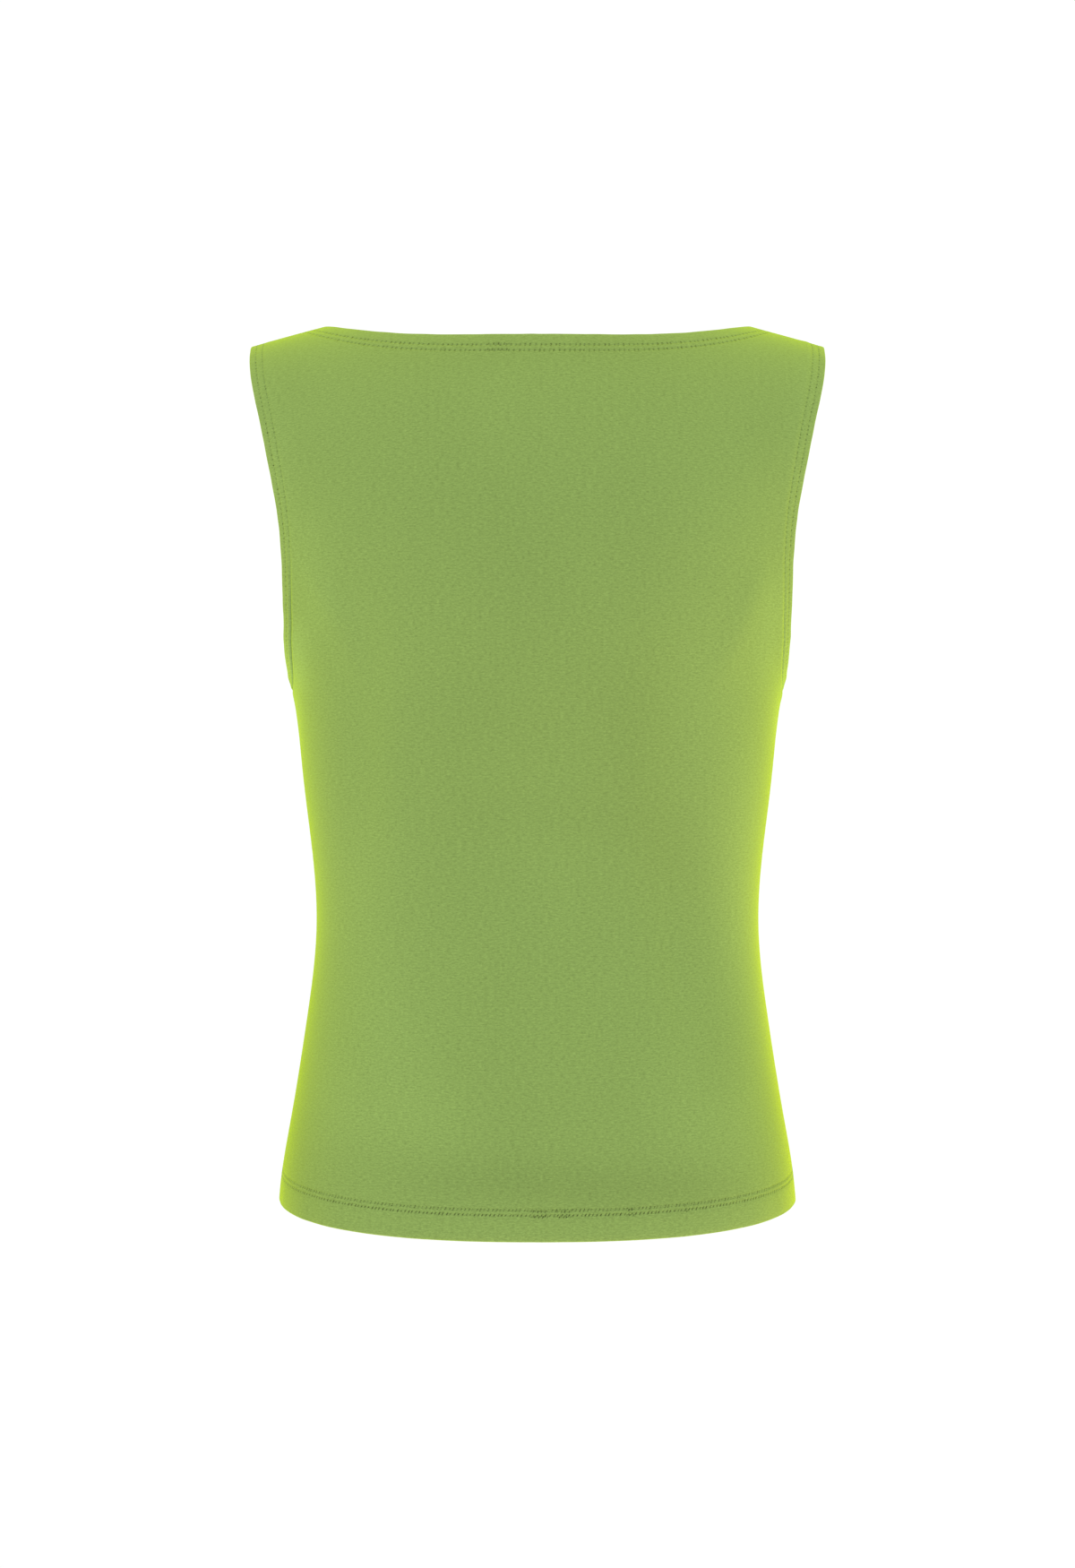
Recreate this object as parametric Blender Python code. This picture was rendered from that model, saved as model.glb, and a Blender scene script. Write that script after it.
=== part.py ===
"""Fitted boat-neck tank top in fine jersey, hollow as when it is worn.

A back and a front panel meet at the shoulder and side seams. Their neck, armhole and hem edges are turned to the
inside, each as a second layer under its panel. The origin is midway between the shoulders, at the height of the
points where the neckline crosses the shoulder seams. The back faces -Y, and +X is the wearer's right.
"""

import math
from collections import namedtuple

import bmesh
import bpy
import numpy as np
from mathutils import Vector

# Cloth
WALL = 0.0010  # one layer
SEAM_GAP = 0.0003  # between the two panels along a seam
LAYER_GAP = 0.0003  # between a panel and its turning
HEM_TURNING = 0.0195
NECK_TURNING = 0.0150
ARMHOLE_TURNING = 0.0105

# Shoulders and armholes
NECK_HALF_WIDTH = 0.1235  # from the centre to the neck point on the shoulder seam
TIP_HALF_WIDTH = 0.1665  # from the centre to the shoulder's outer end
SHOULDER_SLOPE = 0.2835  # fall of the shoulder seam, far from the neck
SHOULDER_SOFTNESS = 0.050  # half width over which the seam's line levels off behind the neck
ROLL_START = -0.130  # height from which the cloth leans in to roll over the shoulder
UNDERARM = -0.2035
UNDERARM_ROUNDNESS = 2.2  # 2 is an ellipse, more is a flatter underarm
STRAP_ROUNDNESS = 1.2  # less lets the armhole widen more gradually below the shoulder
HEM_SIDE = -0.5025  # bottom of the side seams
HEM_EASE = 1.15  # how softly the hem starts to fall from the side seams

# The form the cloth takes, by height: half its width, how far it stands behind and in front of the side seams, and
# its fullness, 2 for an ellipse and more for squarer. Above the underarm the width is that of the shoulder and
# upper arm, where the armhole cuts it off.
Section = namedtuple("Section", "level half_width back_depth front_depth fullness")
SECTIONS = (
    Section(-0.520, 0.1500, 0.1000, 0.0990, 2.35),
    Section(-0.500, 0.1490, 0.1010, 0.0990, 2.35),  # hem
    Section(-0.455, 0.1421, 0.0990, 0.0980, 2.30),
    Section(-0.400, 0.1334, 0.0890, 0.0940, 2.20),
    Section(-0.345, 0.1279, 0.0790, 0.0900, 2.15),  # waist
    Section(-0.260, 0.1357, 0.0860, 0.1030, 2.05),
    Section(-0.2035, 0.1438, 0.0940, 0.1120, 2.00),  # underarm
    Section(-0.165, 0.1566, 0.0975, 0.1130, 2.00),
    Section(-0.110, 0.1757, 0.0980, 0.1060, 2.00),
    Section(-0.060, 0.2082, 0.0965, 0.0980, 2.00),
    Section(-0.030, 0.2225, 0.0940, 0.0940, 2.00),
    Section(0.000, 0.2310, 0.0920, 0.0920, 2.00),  # shoulder seam
)

# A panel: the side it stands on, how far its neckline and hem reach, and the roundness of its neckline in plan.
Panel = namedtuple("Panel", "name side depth_column neck_reach neck_roundness hem_drop")
BACK = Panel("back", -1, "back_depth", 0.0610, 1.9, 0.0145)
FRONT = Panel("front", 1, "front_depth", 0.0770, 2.1, 0.0050)

# Grid of a panel's half, from its centre to its side and from its hem up
NECK_COLUMNS = 9  # along the neckline
STRAP_COLUMNS = 3  # along the shoulder seam
SIDE_ROWS = 15  # up the side seam
ARMHOLE_ROWS = 15  # round the armhole
COLUMNS = NECK_COLUMNS + STRAP_COLUMNS
ROWS = SIDE_ROWS + ARMHOLE_ROWS
SLANT_ROWS = 4  # rows under the armhole over which the grid levels out again
EDGE_STEPS = 240  # steps used to measure along an edge
HALVINGS = 50  # times the range is halved to find the neckline's level
PROBE = 1.0e-5  # step used to find the slope of the form
TRAVEL_STEPS = 4  # steps taken to go a distance along the form
CREASE = math.radians(40)  # sharper edges than this are shaded as edges

CLOTH_COLOUR = (0.262, 0.397, 0.094, 1.0)
CLOTH_ROUGHNESS = 0.85


def clear_scene():
    for item in list(bpy.data.objects):
        bpy.data.objects.remove(item, do_unlink=True)


def spline(heights, values):
    """Smooth curve through the values, with no bend at its two ends."""
    heights = np.array(heights)
    values = np.array(values)
    count = len(heights)
    gaps = np.diff(heights)
    rises = np.diff(values) / gaps
    matrix = np.eye(count)
    right = np.zeros(count)
    for k in range(1, count - 1):
        matrix[k, k - 1 : k + 2] = gaps[k - 1], 2 * (gaps[k - 1] + gaps[k]), gaps[k]
        right[k] = 6 * (rises[k] - rises[k - 1])
    bends = np.linalg.solve(matrix, right)

    def curve(height):
        k = int(np.clip(np.searchsorted(heights, height) - 1, 0, count - 2))
        after = height - heights[k]
        before = heights[k + 1] - height
        gap = gaps[k]
        cubic = (bends[k] * before**3 + bends[k + 1] * after**3) / (6 * gap)
        low = (values[k] / gap - bends[k] * gap / 6) * before
        high = (values[k + 1] / gap - bends[k + 1] * gap / 6) * after
        return cubic + low + high

    return curve


LEVELS = [section.level for section in SECTIONS]
half_width_at = spline(LEVELS, [section.half_width for section in SECTIONS])
fullness_at = spline(LEVELS, [section.fullness for section in SECTIONS])
depth_at = {
    panel.name: spline(LEVELS, [getattr(section, panel.depth_column) for section in SECTIONS])
    for panel in (BACK, FRONT)
}


def shoulder_height(x):
    """Height of the shoulder seam's line, 0 at the neck points, levelling off behind the neck."""
    soft_neck = math.hypot(NECK_HALF_WIDTH, SHOULDER_SOFTNESS)
    return SHOULDER_SLOPE * (soft_neck - math.hypot(x, SHOULDER_SOFTNESS))


def rounded(share, level):
    """A sine or cosine, changed so that the section at this level gets its fullness."""
    return math.copysign(abs(share) ** (2 / fullness_at(level)), share)


def form_point(panel, angle, level):
    """Point of the outer face. The angle is 0 at the centre and a right angle at the side seam.

    The level is the height, up to where the cloth starts to roll over. From there to 0 it turns from upright to
    level with the shoulder seam.
    """
    turn = 0.0
    if level > ROLL_START:
        turn = (1 - level / ROLL_START) * math.pi / 2
    x = half_width_at(level) * rounded(math.sin(angle), level)
    y = panel.side * depth_at[panel.name](level) * rounded(math.cos(angle), level) * math.cos(turn)
    z = level
    if turn > 0:
        z = ROLL_START + (shoulder_height(x) - ROLL_START) * math.sin(turn)
    return Vector((x, y, z))


def form_slopes(panel, angle, level):
    """How the outer face's point moves with the angle and with the level."""
    across = form_point(panel, angle + PROBE, level) - form_point(panel, angle - PROBE, level)
    upward = form_point(panel, angle, level + PROBE) - form_point(panel, angle, level - PROBE)
    return across / (2 * PROBE), upward / (2 * PROBE)


def form_normal(panel, angle, level):
    across, upward = form_slopes(panel, angle, level)
    return across.cross(upward).normalized() * -panel.side


def travel(panel, start, way):
    """Angle and level reached from start by going the way, a vector, along the cloth."""
    angle, level = start
    step = way / TRAVEL_STEPS
    for _ in range(TRAVEL_STEPS):
        across, upward = form_slopes(panel, angle, level)
        a, b, c = across.dot(across), across.dot(upward), upward.dot(upward)
        d, e = across.dot(step), upward.dot(step)
        size = a * c - b * b
        angle += (c * d - b * e) / size
        level += (a * e - b * d) / size
    return angle, level


def neckline(panel, share):
    """Angle and level on the neckline, from the centre at share 0 to the neck point at share 1."""
    swing = share * math.pi / 2
    power = 2 / panel.neck_roundness
    x = NECK_HALF_WIDTH * math.sin(swing) ** power
    reach = panel.neck_reach * max(math.cos(swing), 0.0) ** power
    low, high = ROLL_START, 0.0
    for _ in range(HALVINGS):
        level = (low + high) / 2
        angle = math.asin(x / half_width_at(level))
        if abs(form_point(panel, angle, level).y) > reach:
            low = level
        else:
            high = level
    return math.asin(x / half_width_at(high)), high


def armhole(share):
    """Angle and level on the armhole's edge, from the underarm at share 0 to the shoulder tip at share 1."""
    swing = share * math.pi / 2
    tip_angle = math.asin(TIP_HALF_WIDTH / half_width_at(0.0))
    turned = math.sin(swing) ** (2 / UNDERARM_ROUNDNESS)
    level = UNDERARM * max(math.cos(swing), 0.0) ** (2 / STRAP_ROUNDNESS)
    return math.pi / 2 - (math.pi / 2 - tip_angle) * turned, level


def shoulder_seam(x):
    return math.asin(x / half_width_at(0.0)), 0.0


def hem_level(panel, angle):
    return HEM_SIDE - panel.hem_drop * abs(rounded(math.cos(angle), HEM_SIDE)) ** HEM_EASE


def at_distances(panel, edge, distances):
    """Angles and levels on an edge, a function of a share from 0 to 1, at the distances for its whole length."""
    shares = [k / EDGE_STEPS for k in range(EDGE_STEPS + 1)]
    points = [form_point(panel, *edge(share)) for share in shares]
    lengths = [0.0]
    for first, second in zip(points, points[1:]):
        lengths.append(lengths[-1] + (second - first).length)
    return [edge(float(np.interp(distance, lengths, shares))) for distance in distances(lengths[-1])]


def spread(first, last, count):
    """Count numbers evenly from first to last, with both."""
    return [first + (last - first) * k / (count - 1) for k in range(count)]


def inward(panel, line, k, distance):
    """Angle and level a distance to the right of the line as it runs, square to it and along the cloth."""
    along = Vector((1, 0, 0))
    if k > 0:
        along = form_point(panel, *line[k + 1]) - form_point(panel, *line[k - 1])
    across, upward = form_slopes(panel, *line[k])
    sideways = along.cross(across.cross(upward)).normalized()
    return travel(panel, line[k], sideways * distance)


def panel_edges(panel):
    """Angles and levels of the grid points along the hem, up the side and armhole, and along the top.

    Next to a corner they are spaced so that a turning ends on a grid point of the seam that it crosses.
    """
    hem = at_distances(
        panel,
        lambda share: (share * math.pi / 2, hem_level(panel, share * math.pi / 2)),
        lambda total: spread(0.0, total - ARMHOLE_TURNING, COLUMNS) + [total],
    )
    side_levels = [HEM_SIDE] + spread(HEM_SIDE + HEM_TURNING, UNDERARM - ARMHOLE_TURNING, SIDE_ROWS - 1)
    armhole_edge = at_distances(
        panel,
        armhole,
        lambda total: [0.0] + spread(2 * ARMHOLE_TURNING, total - NECK_TURNING, ARMHOLE_ROWS - 1) + [total],
    )
    side = [(math.pi / 2, level) for level in side_levels] + armhole_edge
    neck_edge = at_distances(
        panel,
        lambda share: neckline(panel, share),
        lambda total: spread(0.0, total - 2 * NECK_TURNING, NECK_COLUMNS) + [total],
    )
    slant = math.hypot(1, SHOULDER_SLOPE)
    seam = [
        shoulder_seam(NECK_HALF_WIDTH + NECK_TURNING / slant),
        shoulder_seam(TIP_HALF_WIDTH - ARMHOLE_TURNING / slant),
        shoulder_seam(TIP_HALF_WIDTH),
    ]
    return hem, side, neck_edge + seam


def inset_lines(panel, hem, side, top):
    """The next grid line in from the hem, the side and the top, where the turnings end."""
    outward = Vector((1, 0, 0))
    over_shoulder = Vector((0, panel.side, 0))
    low = [(angle, level + HEM_TURNING) for angle, level in hem[:COLUMNS]]
    high = [inward(panel, top, column, NECK_TURNING) for column in range(NECK_COLUMNS)]
    for column in (NECK_COLUMNS, NECK_COLUMNS + 1):
        high.append(travel(panel, top[column], (outward + over_shoulder) * NECK_TURNING))
    high.append(travel(panel, top[COLUMNS - 1], over_shoulder * NECK_TURNING))
    far = []
    for row in range(1, SIDE_ROWS + 1):
        dip = ARMHOLE_TURNING * max(0.0, 1 - (SIDE_ROWS - row) / SLANT_ROWS)
        far.append((hem[COLUMNS - 1][0], side[row][1] - dip))
    for row in range(SIDE_ROWS + 1, ROWS - 1):
        far.append(inward(panel, side, row, -ARMHOLE_TURNING))
    low[-1] = far[0]
    return low, far + [high[-1]], high


def centre_line(bottom, top):
    """Levels down the middle of the panel, with the row below the underarm at its height on the side."""
    levels = spread(bottom, UNDERARM - ARMHOLE_TURNING, SIDE_ROWS)
    levels += spread(UNDERARM - ARMHOLE_TURNING, top, ROWS - SIDE_ROWS)[1:]
    return [(0.0, level) for level in levels]


def panel_grid(panel):
    """Angle and level of each grid point of a panel's half, by column from the centre and row from the hem."""
    hem, side, top = panel_edges(panel)
    low, far, high = (np.array(line) for line in inset_lines(panel, hem, side, top))
    middle = np.array(centre_line(low[0][1], high[0][1]))
    grid = {}
    for column in range(COLUMNS):
        for row in range(1, ROWS):
            u = column / (COLUMNS - 1)
            v = (row - 1) / (ROWS - 2)
            sides = (1 - u) * middle[row - 1] + u * far[row - 1]
            ends = (1 - v) * low[column] + v * high[column]
            corners = (1 - v) * ((1 - u) * low[0] + u * low[-1]) + v * ((1 - u) * high[0] + u * high[-1])
            grid[column, row] = tuple(sides + ends - corners)
    for column in range(COLUMNS + 1):
        grid[column, 0] = hem[column]
        grid[column, ROWS] = top[column]
    for row in range(ROWS):
        grid[COLUMNS, row] = side[row]
    return grid


def cell(column, row):
    """The two triangles of a grid cell, the same way round on both halves of the panel."""
    corners = [(column, row), (column + 1, row), (column + 1, row + 1), (column, row + 1)]
    if column < 0:
        return [(corners[0], corners[1], corners[2]), (corners[0], corners[2], corners[3])]
    return [(corners[0], corners[1], corners[3]), (corners[1], corners[2], corners[3])]


def mirrored(triangles):
    return [tuple((-column, row) for column, row in reversed(triangle)) for triangle in triangles]


def on_seam(column, row):
    return (abs(column) == COLUMNS and row <= SIDE_ROWS) or (abs(column) >= NECK_COLUMNS and row == ROWS)


def cloth_object(name, panel, grid, triangles, outer, inner, material):
    """A closed layer over the triangles of the grid, from the depth outer to the depth inner below the outer face."""
    builder = bmesh.new()
    corners = {}
    for triangle in triangles:
        for column, row in triangle:
            if (column, row) in corners:
                continue
            angle, level = grid[abs(column), row]
            angle = math.copysign(angle, column)
            point = form_point(panel, angle, level)
            normal = form_normal(panel, angle, level)
            pair = [point - normal * outer, point - normal * inner]
            if on_seam(column, row):
                for place in pair:
                    place.y = panel.side * SEAM_GAP / 2
            corners[column, row] = [builder.verts.new(place) for place in pair]
    edges = set()
    for triangle in triangles:
        outside = [corners[key][0] for key in triangle]
        inside = [corners[key][1] for key in triangle]
        builder.faces.new(outside if panel.side < 0 else outside[::-1])
        builder.faces.new(inside[::-1] if panel.side < 0 else inside)
        edges.update(zip(triangle, triangle[1:] + triangle[:1]))
    for first, second in sorted(edges):
        if (second, first) in edges:
            continue
        rim = [corners[second][0], corners[first][0], corners[first][1], corners[second][1]]
        if panel.side > 0:
            rim.reverse()
        builder.faces.new(rim[:3])
        builder.faces.new([rim[0], rim[2], rim[3]])
    mesh = bpy.data.meshes.new(name)
    builder.to_mesh(mesh)
    builder.free()
    mesh.shade_smooth()
    mesh.set_sharp_from_angle(angle=CREASE)
    mesh.materials.append(material)
    item = bpy.data.objects.new(name, mesh)
    bpy.context.collection.objects.link(item)
    return item


def jersey(name):
    material = bpy.data.materials.new(name)
    material.use_nodes = True
    shader = material.node_tree.nodes["Principled BSDF"]
    shader.inputs["Base Color"].default_value = CLOTH_COLOUR
    shader.inputs["Roughness"].default_value = CLOTH_ROUGHNESS
    shader.inputs["Metallic"].default_value = 0.0
    return material


def panel_cells():
    return [
        triangle
        for row in range(ROWS)
        for column in range(-COLUMNS, COLUMNS)
        for triangle in cell(column, row)
    ]


def hem_cells():
    return [triangle for column in range(-COLUMNS, COLUMNS) for triangle in cell(column, 0)]


def neck_cells():
    """Cells along the neckline, and a triangle beyond each neck point that brings the turning to the seam."""
    last = ROWS - 1
    cells = [triangle for column in range(-NECK_COLUMNS, NECK_COLUMNS) for triangle in cell(column, last)]
    corner = (NECK_COLUMNS, last), (NECK_COLUMNS + 1, ROWS), (NECK_COLUMNS, ROWS)
    return cells + [corner] + mirrored([corner])


def armhole_cells(right):
    """Cells up the armhole's edge, and a triangle that brings the turning to the side seam under the arm."""
    column = COLUMNS - 1
    cells = [triangle for row in range(SIDE_ROWS, ROWS) for triangle in cell(column, row)]
    cells.append(((column, SIDE_ROWS), (COLUMNS, SIDE_ROWS - 1), (COLUMNS, SIDE_ROWS)))
    return cells if right else mirrored(cells)


def build_panel(panel):
    grid = panel_grid(panel)
    material = jersey(panel.name + "_jersey")
    turned = jersey(panel.name + "_jersey_turned")
    layer = WALL + LAYER_GAP
    parts = [cloth_object(panel.name + "_panel", panel, grid, panel_cells(), 0.0, WALL, material)]
    turnings = {
        "neck": neck_cells(),
        "armhole_right": armhole_cells(True),
        "armhole_left": armhole_cells(False),
        "hem": hem_cells(),
    }
    for place, cells in turnings.items():
        name = panel.name + "_turning_" + place
        parts.append(cloth_object(name, panel, grid, cells, layer, layer + WALL, turned))
    return parts


def main():
    clear_scene()
    held = bpy.data.objects.new("held_at_shoulders", None)
    bpy.context.collection.objects.link(held)
    for panel in (BACK, FRONT):
        for part in build_panel(panel):
            part.parent = held


main()
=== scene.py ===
"""Fitted boat-neck tank top in fine grass-green jersey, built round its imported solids.

Each panel is one sheet of jersey whose neck, armhole and hem edges are folded to the inside and held by a
two-needle coverstitch. The side and shoulder seams are joined by overlocked allowances pressed to the back.
Lengths are in metres. The back faces -Y, and +X is the wearer's right.
"""

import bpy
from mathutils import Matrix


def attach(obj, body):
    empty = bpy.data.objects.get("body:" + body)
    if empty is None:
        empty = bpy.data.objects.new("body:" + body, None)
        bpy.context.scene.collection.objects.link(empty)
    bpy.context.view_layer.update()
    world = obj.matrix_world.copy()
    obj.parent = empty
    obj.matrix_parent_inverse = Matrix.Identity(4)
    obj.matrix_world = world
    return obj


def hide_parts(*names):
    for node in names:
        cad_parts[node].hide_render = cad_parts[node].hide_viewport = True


bl_info = {
    "name": "Jersey Tank Top",
    "version": (1, 0, 0),
    "blender": (4, 5, 0),
    "location": "View3D > Sidebar > Tank Top",
    "description": "Sews a boat-neck jersey tank top with folded, coverstitched edges",
    "category": "Add Mesh",
}

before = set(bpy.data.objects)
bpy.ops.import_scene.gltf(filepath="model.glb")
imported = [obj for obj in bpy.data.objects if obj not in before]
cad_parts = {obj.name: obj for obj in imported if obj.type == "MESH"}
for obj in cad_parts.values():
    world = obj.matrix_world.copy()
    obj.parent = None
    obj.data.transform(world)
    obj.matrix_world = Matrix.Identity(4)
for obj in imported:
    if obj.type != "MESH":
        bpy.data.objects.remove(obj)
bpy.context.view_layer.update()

import math
from collections import namedtuple

import bpy
import numpy as np
from bpy.props import FloatProperty, FloatVectorProperty, IntProperty, PointerProperty
from mathutils import Vector
from mathutils.geometry import delaunay_2d_cdt
from mathutils.kdtree import KDTree

# Shoulders, neck and armholes, as the solids have them
NECK_HALF_WIDTH = 0.1235
TIP_HALF_WIDTH = 0.1665
SHOULDER_SLOPE = 0.2835
SHOULDER_SOFTNESS = 0.050
ROLL_START = -0.130
UNDERARM = -0.2035
UNDERARM_ROUNDNESS = 2.2
STRAP_ROUNDNESS = 1.2
HEM_SIDE = -0.5025
HEM_EASE = 1.15

Section = namedtuple("Section", "level half_width back_depth front_depth fullness")
SECTIONS = (
    Section(-0.520, 0.1500, 0.1000, 0.0990, 2.35),
    Section(-0.500, 0.1490, 0.1010, 0.0990, 2.35),  # hem
    Section(-0.455, 0.1421, 0.0990, 0.0980, 2.30),
    Section(-0.400, 0.1334, 0.0890, 0.0940, 2.20),
    Section(-0.345, 0.1279, 0.0790, 0.0900, 2.15),  # waist
    Section(-0.260, 0.1357, 0.0860, 0.1030, 2.05),
    Section(-0.2035, 0.1438, 0.0940, 0.1120, 2.00),  # underarm
    Section(-0.165, 0.1566, 0.0975, 0.1130, 2.00),
    Section(-0.110, 0.1757, 0.0980, 0.1060, 2.00),
    Section(-0.060, 0.2082, 0.0965, 0.0980, 2.00),
    Section(-0.030, 0.2225, 0.0940, 0.0940, 2.00),
    Section(0.000, 0.2310, 0.0920, 0.0920, 2.00),  # shoulder seam
)
Panel = namedtuple("Panel", "name side depth_column neck_reach neck_roundness hem_drop")
BACK = Panel("back", -1, "back_depth", 0.0610, 1.9, 0.0145)
FRONT = Panel("front", 1, "front_depth", 0.0770, 2.1, 0.0050)
PANELS = (BACK, FRONT)

# Finished edges: which way the cloth lies from the edge as it runs, how wide the turning is, how far the two
# rows of stitches lie from the edge, the length of a stitch, how far the needle marks (painted shade in the
# needles' dents) lean along the edge, and how faint they are.
Edge = namedtuple("Edge", "name hand turning rows pitch lean faint")
NECK = Edge("neck", -1, 0.0150, (0.0088, 0.0130), 0.0027, 0.12, 0.85)
ARMHOLE = Edge("armhole", 1, 0.0105, (0.0040, 0.0080), 0.0027, 0.20, 1.7)
HEM = Edge("hem", 1, 0.0195, (0.0150, 0.0179), 0.0022, -0.45, 0.9)
EDGES = (NECK, ARMHOLE, HEM)

# Mesh
CELL = 0.0030  # side of a triangle in the middle of a panel
CLEARANCE = 0.66  # least distance of its corners from the lines along the edges, as a share of the cell
ROW_STEP = 0.0024  # between points along an edge
TURNING_STEP = 0.0014  # between lines of points across a turning
FOLD_STEPS = 7
ROW_LINES = (-0.0009, -0.00045, 0.0, 0.00045, 0.0009)  # lines of points beside a row of stitches
LINES_BEFORE_ROWS = 4  # from the edge to the first of them
LINES_PAST_ROWS = (0.0010, 0.0022)  # beyond the last of them
SEAM_GAP = 0.0001  # between the two panels along a seam
SEAM_STEPS = (0.0006, 0.0013, 0.0024)  # lines of points beside a seam
SAME_POINT = 1.0e-7  # flat places closer than this are one point
SHORTEST_WAY = 1.0e-6  # a stitch at a seam that has no way of its own runs across
FAR = 1.0  # stands for no stitches near

# Measuring on the form
EDGE_STEPS = 360
TABLE_STEPS = 400
TRAVEL_STEPS = 4
HALVINGS = 50  # to find the neckline's level
PROBE = 1.0e-5  # in angle and level, to find the form's slopes
EDGE_PROBE = 0.0004  # along an edge, to find its way
STITCH_PROBE = 0.0003  # along a row, to find a stitch's way
CHUNK = 2000  # points measured at a time

# Relief of the worn cloth: long soft troughs (below 0) and ridges, by where their middle lies across from the
# centre and in height, how long and wide they are, how far they lean from upright in degrees, and how high
# they stand.
Crease = namedtuple("Crease", "across height length width lean rise")
CREASES = {
    "back": (
        Crease(-0.104, -0.230, 0.085, 0.017, 6, -0.0012),
        Crease(-0.078, -0.255, 0.075, 0.014, 3, 0.0007),
        Crease(0.084, -0.300, 0.125, 0.019, -5, -0.0013),
        Crease(0.058, -0.330, 0.090, 0.015, -9, 0.0006),
        Crease(-0.085, -0.370, 0.060, 0.024, 12, 0.0010),
        Crease(0.004, -0.243, 0.020, 0.030, 84, -0.0007),
        Crease(-0.010, -0.284, 0.018, 0.034, 95, -0.0007),
        Crease(0.012, -0.400, 0.030, 0.030, 78, -0.0008),
        Crease(-0.055, -0.335, 0.014, 0.052, 97, 0.0005),
        Crease(0.070, -0.352, 0.012, 0.050, 85, -0.0005),
        Crease(0.000, -0.458, 0.012, 0.140, 90, 0.0008),
        Crease(-0.118, -0.178, 0.036, 0.010, -28, 0.0009),
        Crease(0.120, -0.176, 0.034, 0.010, 30, 0.0009),
        Crease(-0.036, -0.085, 0.030, 0.040, 88, -0.0004),
    ),
    "front": (
        Crease(0.100, -0.245, 0.080, 0.018, 7, -0.0012),
        Crease(-0.092, -0.290, 0.110, 0.018, -6, -0.0012),
        Crease(0.070, -0.360, 0.060, 0.024, 10, 0.0009),
        Crease(-0.006, -0.262, 0.018, 0.034, 94, -0.0007),
        Crease(0.010, -0.392, 0.026, 0.032, 82, -0.0008),
        Crease(0.060, -0.336, 0.013, 0.052, 96, 0.0005),
        Crease(-0.062, -0.350, 0.012, 0.050, 84, -0.0005),
        Crease(0.000, -0.460, 0.012, 0.140, 90, 0.0008),
        Crease(-0.124, -0.186, 0.040, 0.011, 30, 0.0011),
        Crease(0.122, -0.184, 0.038, 0.011, -32, 0.0011),
    ),
}
WINDING = 0.22  # how far a crease or a patch of painted light and shade winds aside, as a share of its width
WINDING_PACE = 2.1
CALM_REACH = 1.1  # how far the edges hold the creases flat, as a share of the turning

# Small unevenness that the stitching pulls into an edge: waves of this length and height, fading inwards.
Pucker = namedtuple("Pucker", "wave height fade")
PUCKERS = {
    "neck": Pucker(0.021, 0.00016, 0.011),
    "armhole": Pucker(0.017, 0.00020, 0.012),
    "hem": Pucker(0.026, 0.00024, 0.017),
}
PUCKER_SIZE = (0.65, 0.35)  # share of that height, and how much it changes along the edge
PUCKER_CHANGE = 3.7  # length of that change, in waves
SIDE_SEED = 2.3
FRONT_SEED = 5.1
SIZE_SEED = 3
Sine = namedtuple("Sine", "share pace shift start")
SINES = (Sine(0.5, 1.0, 1.7, 0.0), Sine(0.3, 0.618, 2.9, 1.3), Sine(0.2, 1.73, 4.1, 0.4))

ROW_DENT = 0.00014  # how far a row of stitches presses in
ROW_DENT_WIDTH = 0.0007
SEAM_DENT = 0.00065  # how far the cloth dips into a seam
SEAM_DENT_WIDTH = 0.0016
# Low on the armholes the inner row pulls in deeper, more so on the left. 1 is the right side, -1 the left.
UNDERARM_DENT = {1: 0.0003, -1: 0.0014}
UNDERARM_DENT_WIDTH = 0.0008
UNDERARM_RIDGE = {1: 0.00025, -1: 0.00005}  # height of the cloth beside it
UNDERARM_RIDGE_ASIDE = 0.0030
UNDERARM_RIDGE_WIDTH = 0.0019
UNDERARM_REACH = 0.066  # how far up the armhole that pull goes
GROOVE_PAINTED_SHADE = {1: -0.05, -1: -0.32}  # painted shade in that groove: how much darker the cloth's colour is painted there
# Swells of the armhole's band, out from the form, and pulls of its edge, out to the side: which sides, height
# of the middle, length, and how far.
Swell = namedtuple("Swell", "sides height length rise")
SWELLS = (
    Swell((-1,), -0.188, 0.014, 0.0017),
    Swell((1,), -0.188, 0.014, 0.0010),
)
PULLS = (
    Swell((-1, 1), -0.086, 0.030, 0.0018),
    Swell((-1, 1), -0.012, 0.018, -0.0007),
)
SWELL_FADE = 0.016
# Corners of the outline that the folded cloth softens: which sides, how far they give way, and how wide.
Corner = namedtuple("Corner", "edge sides give width")
CORNERS = (
    Corner("armhole", (-1, 1), 0.0034, 0.0034),
    Corner("hem", (-1,), 0.0016, 0.0055),
    Corner("hem", (1,), 0.0034, 0.0065),
)
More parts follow.
